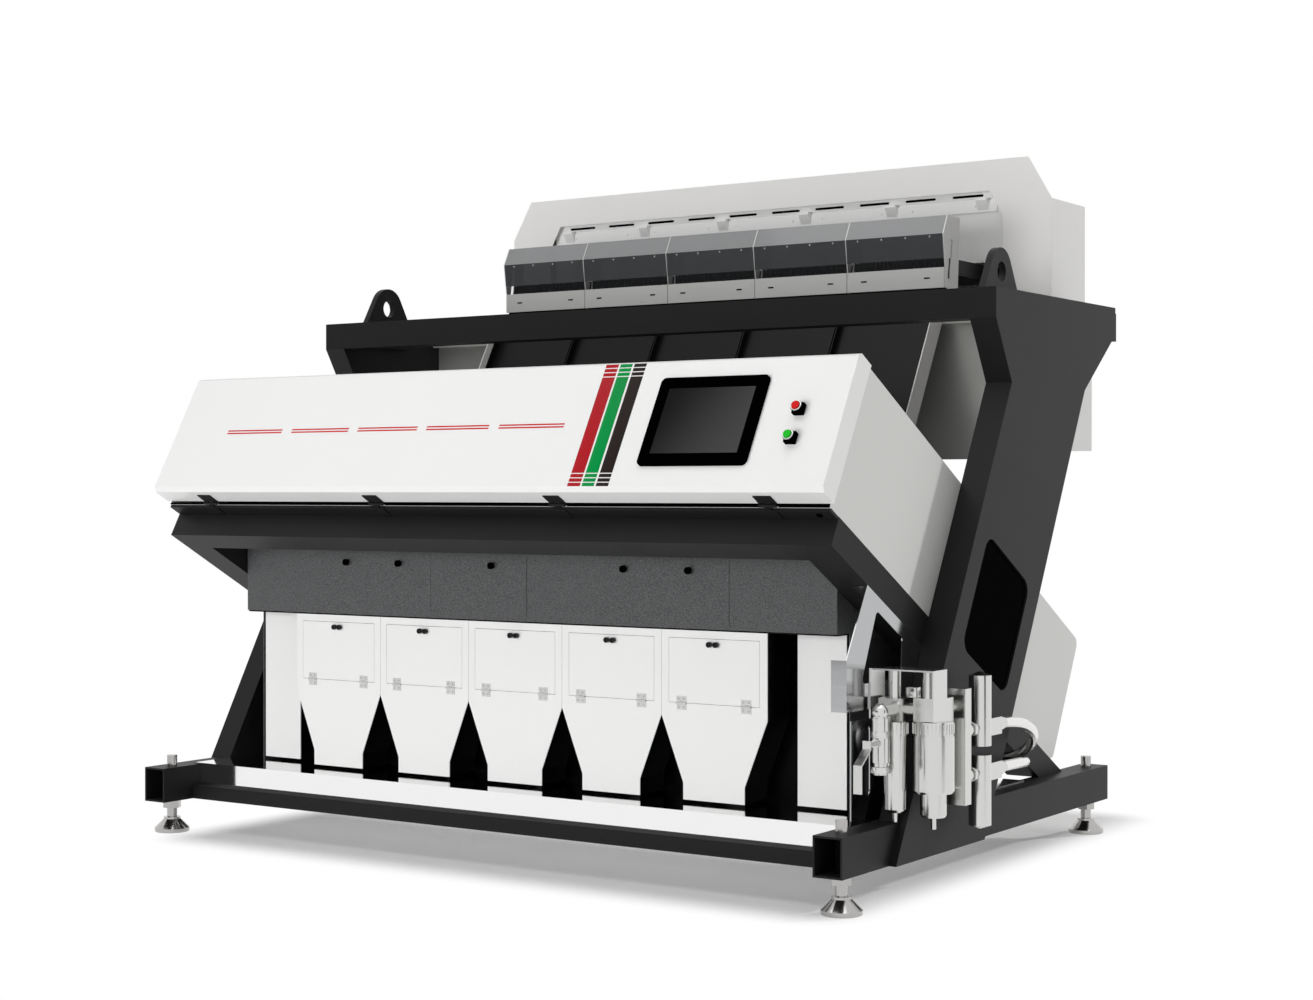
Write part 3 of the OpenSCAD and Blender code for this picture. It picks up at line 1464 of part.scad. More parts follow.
// Points of a curve with given end points and end directions
function curve(a, da, b, db, n) = [
    for (k = [0:n]) let (t = k / n, u = 1 - t)
        u * u * u * a + 3 * u * u * t * (a + da) + 3 * u * t * t * (b - db) + t * t * t * b
];

function path_dir(p, k) = let (v = p[min(k + 1, len(p) - 1)] - p[max(k - 1, 0)]) v / norm(v);

// Round tube along a path that starts along +Y and ends along -X
module hose(path, d, sides) {
    n = len(path);
    points = [
        for (k = [0:n - 1])
            let (dir = k == 0 ? [0, 1, 0] : k == n - 1 ? [-1, 0, 0] : path_dir(path, k),
                 side = cross(dir, [0, 0, 1]) / norm(cross(dir, [0, 0, 1])), up = cross(side, dir))
                for (a = [0:360 / sides:359]) path[k] + d / 2 * (cos(a) * side + sin(a) * up)
    ];
    faces = concat(
        [[for (s = [0:sides - 1]) s]],
        [[for (s = [0:sides - 1]) n * sides - 1 - s]],
        [for (k = [0:n - 2], s = [0:sides - 1])
            [k * sides + s, (k + 1) * sides + s, (k + 1) * sides + (s + 1) % sides, k * sides + (s + 1) % sides]]
    );
    polyhedron(points, faces, convexity = 4);
}

module air_valves() color(steel) {
    air_valve(upper_valve_z, upper_port_h, true);
    air_valve(lower_valve_z, lower_port_h, false);
    for (z = [upper_port_z, lower_port_z]) rod_y(fitting_d, outlet_y, outlet_y + fitting_l, air_valve_at, z);
}

hose_pull = 0.8;
hose_start_y = outlet_y + fitting_l;
hose_end_x = tank_end + fitting_l;
port_z = tank_z - port_drop;

module hose_run(z, port_y) hose(
    curve([air_valve_at, hose_start_y, z], [0, hose_pull * (port_y - hose_start_y), 0],
          [hose_end_x, port_y, port_z], [hose_pull * (hose_end_x - air_valve_at), 0, 0], 18),
    hose_d, 12
);

// Air tank on its saddles, with the ports that the two hoses run to
module air_tank() color(steel) {
    difference() {
        union() {
            rod_x(tank_d, -tank_end, tank_end, tank_y, tank_z);
            for (s = [-1, 1]) rod_x(fitting_d, tank_end - cut, hose_end_x, tank_y + s * port_off, port_z);
        }
        rod_x(tank_d - 2 * tube_wall, -tank_end + tube_wall, tank_end - tube_wall, tank_y, tank_z);
        for (s = [-1, 1])
            rod_x(hose_d / 2, tank_end - 2 * tube_wall, hose_end_x + cut, tank_y + s * port_off, port_z);
    }
    for (s = [-1, 1]) translate([s * bank_half, tank_y, 0]) difference() {
        block([-saddle_t / 2, -tank_d * 0.42, tray_z1], [saddle_t / 2, tank_d * 0.42, tank_z - tank_d / 4]);
        rod_x(tank_d + 0.6, -saddle_t, saddle_t, 0, tank_z);
    }
}

module air_hoses() color("#d8d8d4") {
    hose_run(upper_port_z, tank_y + port_off);
    hose_run(lower_port_z, tank_y - port_off);
}

// Moves the machine so that the middle of its base is the origin
module at_origin() translate([-middle_x, -middle_y, 0]) children();

at_origin() base_beams();
at_origin() base_cross_members();
at_origin() side_columns();
at_origin() column_covers();
at_origin() top_beams();
at_origin() lifting_lugs();
at_origin() foot_pads();
at_origin() foot_studs();
at_origin() front_arms();
at_origin() rear_arms();
at_origin() base_tray();
at_origin() side_shields();
at_origin() rear_shield();
at_origin() front_box();
at_origin() rear_box();
at_origin() inspection_glass();
at_origin() cameras();
at_origin() lamps();
at_origin() hinge_strip();
at_origin() front_door();
at_origin() door_hinge_leaves();
at_origin() screen_bezel();
at_origin() screen_glass();
at_origin() button_collars();
at_origin() button_red();
at_origin() button_green();
at_origin() chutes();
at_origin() chute_rails();
at_origin() ejectors();
at_origin() collection_box();
at_origin() access_covers();
at_origin() access_knobs();
at_origin() reject_funnels();
at_origin() back_apron();
at_origin() infill_panels();
at_origin() sample_hinges();
at_origin() sample_door_1();
at_origin() sample_door_2();
at_origin() sample_door_3();
at_origin() sample_door_4();
at_origin() sample_door_5();
at_origin() accept_trough();
at_origin() feeder_bed();
at_origin() feeder_drives();
at_origin() feeder_tray_1();
at_origin() feeder_tray_2();
at_origin() feeder_tray_3();
at_origin() feeder_tray_4();
at_origin() feeder_tray_5();
at_origin() feeder_plates();
at_origin() feeder_visors();
at_origin() feed_hood();
at_origin() hopper_bin();
at_origin() hopper_gates();
at_origin() rear_cabinet();
at_origin() air_unit();
at_origin() valve_lever();
at_origin() air_valves();
at_origin() air_tank();
at_origin() air_hoses();
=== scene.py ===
# %% [markdown]
# # Dressing an optical colour sorter
# The sorter drops grain down five chutes, looks at it with cameras, and blows bad grains aside with
# air. The solids come ready made from the frame. This lesson gives them a camera, light and finishes,
# and then models the small things that the solids leave out: stripes, screws, nuts, gauges and seals.

import math

import bpy
from mathutils import Matrix, Vector


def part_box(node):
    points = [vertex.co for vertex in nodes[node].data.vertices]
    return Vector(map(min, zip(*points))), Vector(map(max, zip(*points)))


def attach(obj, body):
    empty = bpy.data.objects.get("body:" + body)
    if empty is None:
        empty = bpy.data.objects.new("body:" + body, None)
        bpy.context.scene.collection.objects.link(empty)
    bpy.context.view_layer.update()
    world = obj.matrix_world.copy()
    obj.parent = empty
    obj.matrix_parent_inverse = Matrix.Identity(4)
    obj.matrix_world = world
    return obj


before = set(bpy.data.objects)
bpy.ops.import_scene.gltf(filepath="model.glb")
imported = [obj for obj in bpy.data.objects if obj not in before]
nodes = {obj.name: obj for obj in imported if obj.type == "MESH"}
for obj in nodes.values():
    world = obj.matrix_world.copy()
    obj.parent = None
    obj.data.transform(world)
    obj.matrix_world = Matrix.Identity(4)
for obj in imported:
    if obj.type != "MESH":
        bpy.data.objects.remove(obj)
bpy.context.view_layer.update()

# %% [markdown]
# ## One set of coordinates
# Sizes here are read as on the shop floor: millimetres from the machine's centre plane, from the front
# ends of the base beams, and from the floor. The optics lean back by 29 degrees, so a second helper
# reads sizes in that leaned frame. Both are tied to the base beams, so they follow the solids.

# %% Places on the machine
beam_low, beam_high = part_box("base_beams")
MIDDLE_X = (beam_low.x + beam_high.x) / 2
FRONT_Y = beam_low.y
LEAN = math.radians(29)
LEAN_FOOT_Y, LEAN_FOOT_Z = 0.235, 0.095
UPRIGHT = Matrix.Translation((MIDDLE_X, FRONT_Y, 0))
LEANED = (
    Matrix.Translation((MIDDLE_X, FRONT_Y + LEAN_FOOT_Y, LEAN_FOOT_Z))
    @ Matrix.Rotation(-LEAN, 4, "X")
)
# The middles of the five chutes, with their feeders and funnels
BANKS = (-650, -325, 0, 325, 650)
print("middle", round(MIDDLE_X, 4), "front", round(FRONT_Y, 4))

# %% [markdown]
# ## Camera and light
# The camera stands low, in front and to the right, at the height of the door. A wide lamp above and a
# large low one in front light the machine evenly, as in a studio, and a distant one behind on the right
# throws the column's shadow on the optical box. The world is white where the camera, a mirror or glass
# sees it, and dimmer as a light, so that colours stay as written. Two dark boards, which only
# reflections see, keep the black paint black and give the bright steel its edges.

# %% Camera
CAMERA_PLACE = (3.63799, -4.45402, 1.01398)
LOOKS_DOWN, LOOKS_LEFT = 0.2551, 33.8646
camera_data = bpy.data.cameras.new("camera")
camera_data.lens = 59.11
camera_data.sensor_width = 36
camera = bpy.data.objects.new("camera", camera_data)
camera.location = UPRIGHT @ Vector(CAMERA_PLACE)
camera.rotation_euler = (math.radians(90 - LOOKS_DOWN), 0, math.radians(LOOKS_LEFT))
bpy.context.scene.collection.objects.link(camera)
bpy.context.scene.camera = camera
bpy.context.scene.view_settings.view_transform = "Standard"
print("camera at", [round(part, 2) for part in camera.location])


# %% Lamps
def aimed(name, data, place, direction):
    lamp = bpy.data.objects.new(name, data)
    lamp.location = place
    lamp.rotation_euler = direction.to_track_quat("-Z", "Y").to_euler()
    bpy.context.scene.collection.objects.link(lamp)
    return lamp


def softbox(name, place, aim, width, height, watts):
    data = bpy.data.lights.new(name, "AREA")
    data.shape = "RECTANGLE"
    data.size = width
    data.size_y = height
    data.energy = watts
    return aimed(name, data, place, Vector(aim) - Vector(place))


softbox("top_lamp", place=(0.3, -1.5, 5.2), aim=(0, 0, 1.0), width=5.0, height=4.0, watts=74)
front_lamp = softbox(
    "front_lamp", place=(-1.0, -6.6, 1.2), aim=(0, 0, 0.9), width=3.5, height=2.2, watts=166
)
key_data = bpy.data.lights.new("key_lamp", "SUN")
key_data.energy = 2.0
key_data.angle = math.radians(2.5)
key_lamp = aimed("key_lamp", key_data, (0, 0, 0), Vector((-1.0, -2.2, -0.7)))
for lamp in (front_lamp, key_lamp):
    lamp.visible_glossy = False

# %% [markdown]
# ## Node tools
# The world, the floor and the finishes are all built from the same few nodes: a calculation, a change
# of range, a blend of two colours, and the place of a point in its object's own coordinates. Each tool
# below adds one and hands back its result, so that a finish reads as a short list of steps.


# %% Adding a node
def added(tree, kind, inputs, **settings):
    """Adds a node, sets it up and fills its inputs: a socket is linked, and a plain value is set."""
    node = tree.nodes.new(kind)
    for label, setting in settings.items():
        setattr(node, label, setting)
    for label, value in inputs.items():
        if isinstance(value, bpy.types.NodeSocket):
            tree.links.new(value, node.inputs[label])
        else:
            node.inputs[label].default_value = value
    return node


def calc(tree, operation, *values):
    inputs = dict(enumerate(values))
    return added(tree, "ShaderNodeMath", inputs, operation=operation).outputs[0]


def calc_vector(tree, operation, *values):
    inputs = dict(enumerate(values))
    step = added(tree, "ShaderNodeVectorMath", inputs, operation=operation)
    gives_number = operation in ("LENGTH", "DOT_PRODUCT")
    return step.outputs["Value" if gives_number else "Vector"]


# %% Ranges, blends and places
def ranged(tree, value, start=0.0, stop=1.0, low=0.0, high=1.0, curve="LINEAR"):
    inputs = {"Value": value, "From Min": start, "From Max": stop, "To Min": low, "To Max": high}
    return added(tree, "ShaderNodeMapRange", inputs, interpolation_type=curve).outputs["Result"]


def blended(tree, share, low, high, how="MIX"):
    inputs = {"Factor": share, "A": low, "B": high}
    mix = added(tree, "ShaderNodeMix", inputs, data_type="RGBA", blend_type=how)
    return mix.outputs["Result"]


def place_in_object(tree):
    return tree.nodes.new("ShaderNodeTexCoord").outputs["Object"]


def seen_directly(tree):
    """Gives 1 where the camera, a mirror or glass looks, and 0 where a surface only gathers light."""
    path = tree.nodes.new("ShaderNodeLightPath")
    value = path.outputs["Is Camera Ray"]
    for ray in ("Is Glossy Ray", "Is Transmission Ray"):
        value = calc(tree, "MAXIMUM", value, path.outputs[ray])
    return value


# %% White surroundings
AMBIENT, SEEN_WHITE = 0.22, 1.0
world = bpy.data.worlds.new("studio")
bpy.context.scene.world = world
world.use_nodes = True
tree = world.node_tree
backdrop = tree.nodes["Background"]
level = ranged(tree, seen_directly(tree), low=AMBIENT, high=SEEN_WHITE)
tree.links.new(level, backdrop.inputs["Strength"])
backdrop.inputs["Color"].default_value = (1, 1, 1, 1)
print("world:", world.name, "ambient", AMBIENT)

# %% Dark boards
board_finish = bpy.data.materials.new("board_dark")
board_finish.use_nodes = True
board_shader = board_finish.node_tree.nodes["Principled BSDF"]
board_shader.inputs["Base Color"].default_value = (0.02, 0.02, 0.02, 1)
boards = [
    ("left_board", (-4.6, -7.2, 1.2), -32, 9, 4.4),
    ("right_board", (4.4, -1.1, 0.9), 58, 1.1, 2.6),
]
for name, place, turn, width, height in boards:
    bpy.ops.object.select_all(action="DESELECT")
    bpy.ops.mesh.primitive_plane_add(size=1, location=place)
    board = bpy.context.object
    board.name = name
    board.scale = (width, height, 1)
    board.rotation_euler = (math.radians(90), 0, math.radians(turn))
    board.data.materials.append(board_finish)
    board.visible_camera = False
    board.visible_diffuse = False
    board.visible_shadow = False
print("boards:", len(boards))

# %% [markdown]
# ## Finishes
# Most of the machine is paint on sheet steel, and the rest is polished or machined steel. Three
# effects come back in many finishes, so each is a node group: a fine paint texture that breaks up the
# gloss, the hammered dimples of the collection box, and drawn-out streaks for polished and machined
# steel.


# %% Group tools
def new_group(name, inputs, outputs):
    group = bpy.data.node_groups.new(name, "ShaderNodeTree")
    for label, kind, value in inputs:
        socket = group.interface.new_socket(label, in_out="INPUT", socket_type=kind)
        socket.default_value = value
    for label, kind in outputs:
        group.interface.new_socket(label, in_out="OUTPUT", socket_type=kind)
    into = group.nodes.new("NodeGroupInput")
    out = group.nodes.new("NodeGroupOutput")
    return group, into.outputs, out.inputs


def with_group(tree, group, **inputs):
    return added(tree, "ShaderNodeGroup", inputs, node_tree=group).outputs


def noise(tree, place, scale, detail):
    inputs = {"Vector": place, "Scale": scale, "Detail": detail}
    return added(tree, "ShaderNodeTexNoise", inputs).outputs["Fac"]


def bumped(tree, height, distance, strength):
    inputs = {"Height": height, "Distance": distance, "Strength": strength}
    return added(tree, "ShaderNodeBump", inputs).outputs["Normal"]


# %% Paint texture
paint_texture, given, result = new_group(
    "paint_texture",
    [
        ("Color", "NodeSocketColor", (0.8, 0.8, 0.8, 1)),
        ("Roughness", "NodeSocketFloat", 0.4),
        ("Grain", "NodeSocketFloat", 900.0),
        ("Depth", "NodeSocketFloat", 0.1),
        ("Mottle", "NodeSocketFloat", 0.05),
    ],
    [
        ("Color", "NodeSocketColor"),
        ("Roughness", "NodeSocketFloat"),
        ("Normal", "NodeSocketVector"),
    ],
)
tree = paint_texture
where = place_in_object(tree)
fine = noise(tree, where, given["Grain"], 2)
tree.links.new(bumped(tree, fine, 0.0006, given["Depth"]), result["Normal"])
print("group:", tree.name)

# %% Uneven gloss and colour
# A broad, weak noise makes the gloss and the colour a little uneven, about their mean values.
GLOSS_SPREAD = 0.06
broad = noise(tree, where, 3.5, 4)
gloss = calc(tree, "MULTIPLY_ADD", broad, GLOSS_SPREAD, given["Roughness"])
tree.links.new(calc(tree, "SUBTRACT", gloss, GLOSS_SPREAD / 2), result["Roughness"])
tone = calc(tree, "MULTIPLY_ADD", broad, given["Mottle"], 1.0)
tone = calc(tree, "MULTIPLY_ADD", given["Mottle"], -0.5, tone)
tree.links.new(blended(tree, 1.0, given["Color"], tone, "MULTIPLY"), result["Color"])
print("paint nodes:", len(tree.nodes))

# %% Hammered dimples
hammered, given, result = new_group(
    "hammered_dimples",
    [("Size", "NodeSocketFloat", 220.0), ("Depth", "NodeSocketFloat", 0.5)],
    [("Mask", "NodeSocketFloat"), ("Normal", "NodeSocketVector")],
)
tree = hammered
cells = added(
    tree,
    "ShaderNodeTexVoronoi",
    {"Vector": place_in_object(tree), "Scale": given["Size"], "Smoothness": 0.6},
    feature="SMOOTH_F1",
)
dimple = bumped(tree, cells.outputs["Distance"], 0.0012, given["Depth"])
tree.links.new(dimple, result["Normal"])
tree.links.new(cells.outputs["Distance"], result["Mask"])
print("group:", tree.name)

# %% Polished streaks
streaks, given, result = new_group(
    "polished_streaks",
    [
        ("Along", "NodeSocketVector", (2.0, 60.0, 60.0)),
        ("Roughness", "NodeSocketFloat", 0.1),
        ("Spread", "NodeSocketFloat", 0.1),
    ],
    [("Roughness", "NodeSocketFloat"), ("Normal", "NodeSocketVector")],
)
tree = streaks
drawn = calc_vector(tree, "MULTIPLY", place_in_object(tree), given["Along"])
lines = noise(tree, drawn, 6, 5)
gloss = calc(tree, "MULTIPLY_ADD", lines, given["Spread"], given["Roughness"])
tree.links.new(gloss, result["Roughness"])
tree.links.new(bumped(tree, lines, 0.0004, 0.02), result["Normal"])
print("group:", tree.name)

# %% [markdown]
# ## Paints, plastics and metals
# A paint is one shader with the texture group in front of it. The numbers that tell finishes apart are
# the colour, the gloss, and how coarse and deep the grain is: the frame is a rough satin black, the
# door a smooth gloss white, and the boxes lie between.


# %% Paint maker
def linear(hex_colour):
    def part(value):
        value /= 255
        return value / 12.92 if value <= 0.04045 else ((value + 0.055) / 1.055) ** 2.4

    return tuple(part(int(hex_colour[k : k + 2], 16)) for k in (1, 3, 5)) + (1,)


def paint_shader(tree, colour, roughness, grain, depth, mottle, coat=0.0, specular=0.5):
    texture = with_group(
        tree,
        paint_texture,
        Color=linear(colour),
        Roughness=roughness,
        Grain=grain,
        Depth=depth,
        Mottle=mottle,
    )
    inputs = {
        "Base Color": texture["Color"],
        "Roughness": texture["Roughness"],
        "Normal": texture["Normal"],
        "Coat Weight": coat,
        "Coat Roughness": 0.08,
        "Specular IOR Level": specular,
    }
    return added(tree, "ShaderNodeBsdfPrincipled", inputs)


def new_material(name):
    material = bpy.data.materials.new(name)
    material.use_nodes = True
    tree = material.node_tree
    tree.nodes.remove(tree.nodes["Principled BSDF"])
    return material, tree, tree.nodes["Material Output"].inputs["Surface"]


def painted(name, *numbers, **more):
    material, tree, surface = new_material(name)
    tree.links.new(paint_shader(tree, *numbers, **more).outputs[0], surface)
    return material


# %% Paints
# After the colour come roughness, grain, depth of the grain and mottle.
frame_black = painted("frame_black", "#1f1f20", 0.46, 1400, 0.35, 0.10, specular=0.14)
satin_black = painted("satin_black", "#0b0b0b", 0.34, 700, 0.12, 0.10, specular=0.12)
cover_black = painted("cover_black", "#0b0b0b", 0.50, 900, 0.10, 0.10, specular=0.0)
black_plastic = painted("black_plastic", "#020202", 0.36, 1800, 0.10, 0.08, specular=0.0)
tray_black = painted("tray_black", "#0c0c0d", 0.34, 1200, 0.12, 0.10, specular=0.2)
seal_black = painted("seal_black", "#050505", 0.60, 1500, 0.20, 0.08, specular=0.0)
door_white = painted("door_white", "#f4f4f3", 0.30, 260, 0.02, 0.01, coat=0.1)
SHEET_PAINT = ("#fcfcfb", 0.34, 420, 0.02, 0.01)
white_sheet = painted("white_sheet", *SHEET_PAINT)
box_grey = painted("box_grey", "#dededb", 0.38, 900, 0.10, 0.03)
hood_grey = painted("hood_grey", "#f0efed", 0.34, 900, 0.08, 0.04)
cabinet_white = painted("cabinet_white", "#e6e6e4", 0.36, 900, 0.08, 0.03)
lamp_white = painted("lamp_white", "#f4f4ee", 0.30, 500, 0.03, 0.02)
stripe_red = painted("stripe_red", "#b01f27", 0.30, 600, 0.03, 0.04, specular=0.08)
stripe_green = painted("stripe_green", "#009144", 0.30, 600, 0.03, 0.04, specular=0.08)
stripe_brown = painted("stripe_brown", "#2a2221", 0.30, 600, 0.03, 0.04, specular=0.05)
dash_red = painted("dash_red", "#cc1018", 0.30, 600, 0.03, 0.04, specular=0.08)
button_red = painted("button_red", "#d80808", 0.25, 500, 0.03, 0.03, specular=0.12)
button_green = painted("button_green", "#08c020", 0.25, 500, 0.03, 0.03, specular=0.12)
print("paints ready")

# %% Hammered grey
hammered_grey, tree, surface = new_material("hammered_grey")
shader = paint_shader(tree, "#3d3e40", 0.36, 500, 0.05, 0.10)
dimples = with_group(tree, hammered, Size=380, Depth=0.6)
tree.links.new(dimples["Normal"], shader.inputs["Normal"])
hollow = ranged(tree, dimples["Mask"], start=0.15, stop=0.55)
speckle = blended(tree, hollow, linear("#6f7071"), linear("#48494a"))
tree.links.new(speckle, shader.inputs["Base Color"])
tree.links.new(shader.outputs[0], surface)
print("finish:", hammered_grey.name)


# %% Metal maker
def metal_shader(tree, colour, along, roughness, spread, metallic=1.0):
    texture = with_group(tree, streaks, Along=along, Roughness=roughness, Spread=spread)
    inputs = {
        "Base Color": linear(colour),
        "Metallic": metallic,
        "Roughness": texture["Roughness"],
        "Normal": texture["Normal"],
    }
    return added(tree, "ShaderNodeBsdfPrincipled", inputs)


def metal(name, *numbers):
    material, tree, surface = new_material(name)
    tree.links.new(metal_shader(tree, *numbers).outputs[0], surface)
    return material


# %% Metals
# After the colour come how the streaks are drawn out, roughness, its spread, and how metallic it is.
FOOT_METAL = ("#b4b2b0", (20, 20, 4), 0.10, 0.14)
HINGE_METAL = ("#dededc", (25, 25, 3), 0.20, 0.08, 0.30)
mirror_sheet = metal("mirror_sheet", "#f0f0f0", (1.5, 30, 30), 0.03, 0.08)
shield_steel = metal("shield_steel", "#b2b3b4", (1.5, 30, 30), 0.06, 0.10)
drawn_sheet = metal("drawn_sheet", "#d0d0cd", (0.8, 12, 12), 0.26, 0.08, 0.6)
plate_steel = metal("plate_steel", "#cdcdcb", (1.2, 40, 40), 0.24, 0.12, 0.30)
bright_steel = metal("bright_steel", "#d2d2d0", (25, 25, 3), 0.15, 0.05)
foot_steel = metal("foot_steel", *FOOT_METAL)
hinge_steel = metal("hinge_steel", *HINGE_METAL)
hose_steel = metal("hose_steel", "#e6e5e3", (6, 6, 6), 0.16, 0.12)
print("metals ready")

# %% [markdown]
# ## Two finishes on one solid
# A funnel is white in front and bare steel behind its front sheet, a sample door carries black knobs
# and steel hinges, and a foot's stud is painted dark and dull inside its beam, as painted shade where
# the tube hides it. The solid stays whole, so its place decides: a limit in the object's own
# coordinates picks one shader or the other, and moves with the piece.


# %% Split by place
def beyond(tree, axis, limit):
    parts = added(tree, "ShaderNodeSeparateXYZ", {0: place_in_object(tree)})
    return calc(tree, "GREATER_THAN", parts.outputs[axis], limit)


def either(tree, mask, low, high):
    inputs = {0: mask, 1: low.outputs[0], 2: high.outputs[0]}
    return added(tree, "ShaderNodeMixShader", inputs)


# %% Funnels and sample doors
FUNNEL_SHEET_BACK = FRONT_Y + 0.2663
FLAP_FACE = FRONT_Y + 0.26395
KNOBS_ABOVE = 0.55
funnel_finish, tree, surface = new_material("funnel_finish")
sheet = paint_shader(tree, *SHEET_PAINT)
bare = metal_shader(tree, "#77797b", (30, 30, 2), 0.10, 0.16)
mixed = either(tree, beyond(tree, "Y", FUNNEL_SHEET_BACK), sheet, bare)
tree.links.new(mixed.outputs[0], surface)

flap_finish, tree, surface = new_material("flap_finish")
sheet = paint_shader(tree, *SHEET_PAINT)
knob = paint_shader(tree, "#070707", 0.30, 1500, 0.08, 0.08, specular=0.3)
leaf = metal_shader(tree, *HINGE_METAL)
fitted = either(tree, beyond(tree, "Z", KNOBS_ABOVE), leaf, knob)
mixed = either(tree, beyond(tree, "Y", FLAP_FACE), fitted, sheet)
tree.links.new(mixed.outputs[0], surface)
print("finishes:", funnel_finish.name, flap_finish.name)

# %% Foot studs
stud_finish, tree, surface = new_material("stud_finish")
bare = metal_shader(tree, *FOOT_METAL)
# Painted shade: the stud is near black and without gloss where it stands inside the beam's tube.
painted_shade = paint_shader(tree, "#0b0b0b", 0.60, 900, 0.10, 0.10, specular=0.0)
inside = either(tree, beyond(tree, "Z", beam_low.z), bare, painted_shade)
mixed = either(tree, beyond(tree, "Z", beam_high.z), inside, bare)
tree.links.new(mixed.outputs[0], surface)
print("beam from", round(beam_low.z, 4), "to", round(beam_high.z, 4))


# %% Clear sheet and glass
def clear(name, colour, roughness, alpha):
    material = bpy.data.materials.new(name)
    material.use_nodes = True
    tree = material.node_tree
    shader = tree.nodes["Principled BSDF"]
    smudge = noise(tree, place_in_object(tree), 5, 4)
    smeared = ranged(tree, smudge, low=roughness, high=roughness + 0.06)
    tree.links.new(smeared, shader.inputs["Roughness"])
    shader.inputs["Base Color"].default_value = linear(colour)
    shader.inputs["Alpha"].default_value = alpha
    shader.inputs["IOR"].default_value = 1.49
    return material


sight_glass = clear("sight_glass", "#cfd8da", 0.03, 0.30)
print("glass:", sight_glass.name)

# %% Visors
# A visor is clear near its lower edge and smoked above, and its top fold is painted a lighter grey, as
# a painted highlight where it catches more light.
CLEAR_BELOW, FOLD_ABOVE = 1.697, 1.768
smoke_visor = clear("smoke_visor", "#6c6e70", 0.06, 0.86)
tree = smoke_visor.node_tree
shader = tree.nodes["Principled BSDF"]
depth = ranged(tree, beyond(tree, "Z", CLEAR_BELOW), low=0.12, high=0.86)
tree.links.new(depth, shader.inputs["Alpha"])
# Painted highlight: above the fold the smoked grey is swapped for a lighter grey.
smoke_and_highlight = blended(tree, beyond(tree, "Z", FOLD_ABOVE), linear("#46484a"), linear("#939495"))
tree.links.new(smoke_and_highlight, shader.inputs["Base Color"])
print("visor:", smoke_visor.name)

# %% [markdown]
# ## Screen
# The screen is off, and its black glass is painted greyer towards the lower right, as a painted
# reflection. Each point's place along that diagonal, a dot product of its coordinates, sets how grey it
# is.

# %% Screen glass
display_black, tree, surface = new_material("display_black")
shader = paint_shader(tree, "#060607", 0.22, 300, 0.01, 0.20, specular=0.06)
glass_low, glass_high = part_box("screen_glass")
diagonal = Vector((1.0, 0, -0.7))
share = ranged(
    tree,
    calc_vector(tree, "DOT_PRODUCT", place_in_object(tree), diagonal),
    start=diagonal.dot((glass_low.x, 0, glass_high.z)),
    stop=diagonal.dot((glass_high.x, 0, glass_low.z)),
    curve="SMOOTHSTEP",
)
# Painted reflection: the glass colour runs from black to grey along the diagonal.
grey = blended(tree, share, linear("#050505"), linear("#434344"))
tree.links.new(grey, shader.inputs["Base Color"])
tree.links.new(shader.outputs[0], surface)
print("screen from", round(glass_low.x, 3), "to", round(glass_high.x, 3))

# %% [markdown]
# ## Finishes on the solids
# Each solid already has the right shape, so it only needs its material. The list below reads like the
# paint shop's job sheet: one finish, and the pieces that get it.

# %% Paint shop list
finishes = {
    frame_black: "base_beams base_cross_members side_columns top_beams lifting_lugs front_arms "
    "rear_arms hinge_strip door_hinge_leaves",
    cover_black: "column_covers",
    satin_black: "chutes back_apron",
    black_plastic: "screen_bezel button_collars access_knobs cameras feeder_drives",
    tray_black: "feeder_tray_1 feeder_tray_2 feeder_tray_3 feeder_tray_4 feeder_tray_5",
    door_white: "front_door",
    white_sheet: "accept_trough hopper_bin hopper_gates infill_panels",
    funnel_finish: "reject_funnels",
    flap_finish: "sample_door_1 sample_door_2 sample_door_3 sample_door_4 sample_door_5",
    box_grey: "front_box rear_box",
    hood_grey: "feed_hood chute_rails",
    cabinet_white: "rear_cabinet",
    hammered_grey: "collection_box access_covers",
    mirror_sheet: "base_tray",
    shield_steel: "side_shields",
    drawn_sheet: "rear_shield",
    plate_steel: "feeder_plates feeder_bed ejectors air_tank",
    bright_steel: "air_unit valve_lever air_valves",
    hinge_steel: "sample_hinges",
    foot_steel: "foot_pads",
    stud_finish: "foot_studs",
    display_black: "screen_glass",
    sight_glass: "inspection_glass",
    smoke_visor: "feeder_visors",
    lamp_white: "lamps",
    button_red: "button_red",
    button_green: "button_green",
    hose_steel: "air_hoses",
}
for finish, names in finishes.items():
    for name in names.split():
        nodes[name].data.materials.clear()
        nodes[name].data.materials.append(finish)
missed = sorted(set(nodes) - {n for names in finishes.values() for n in names.split()})
print("finishes:", len(finishes), "missed:", missed)

# %% [markdown]
# ## Tools for new pieces
# The solids leave out what is too small or too thin for them. Each such piece starts from a primitive,
# is shaped with edit tools and modifiers, and is then set in place. Its mesh takes up the place, so
# that the object itself stays at the origin. A pattern that comes back is shaped once and copied to
# its spots. Sizes and places are in millimetres.


# %% Shaping tools
def started(name):
    piece = bpy.context.object
    piece.name = name
    return piece


def eased(piece, width):
    edge = piece.modifiers.new("edge", "BEVEL")
    edge.width = width / 1000
    edge.segments = 2
    edge.limit_method = "ANGLE"
    bpy.ops.object.modifier_apply(modifier="edge")
    bpy.ops.object.shade_smooth_by_angle(angle=math.radians(35))
    return piece


def picked(piece, test):
    """Selects the points that pass a test, and the edges and faces between them."""
    mesh = piece.data
    for point in mesh.vertices:
        point.select = test(point.co)
    for part in list(mesh.edges) + list(mesh.polygons):
        part.select = all(mesh.vertices[k].select for k in part.vertices)


def bar(name, width, depth, height, edge):
    bpy.ops.object.select_all(action="DESELECT")
    bpy.ops.mesh.primitive_cube_add(size=0.001)
    piece = started(name)
    piece.scale = (width, depth, height)
    bpy.ops.object.transform_apply(location=False, rotation=False, scale=True)
    return eased(piece, edge)


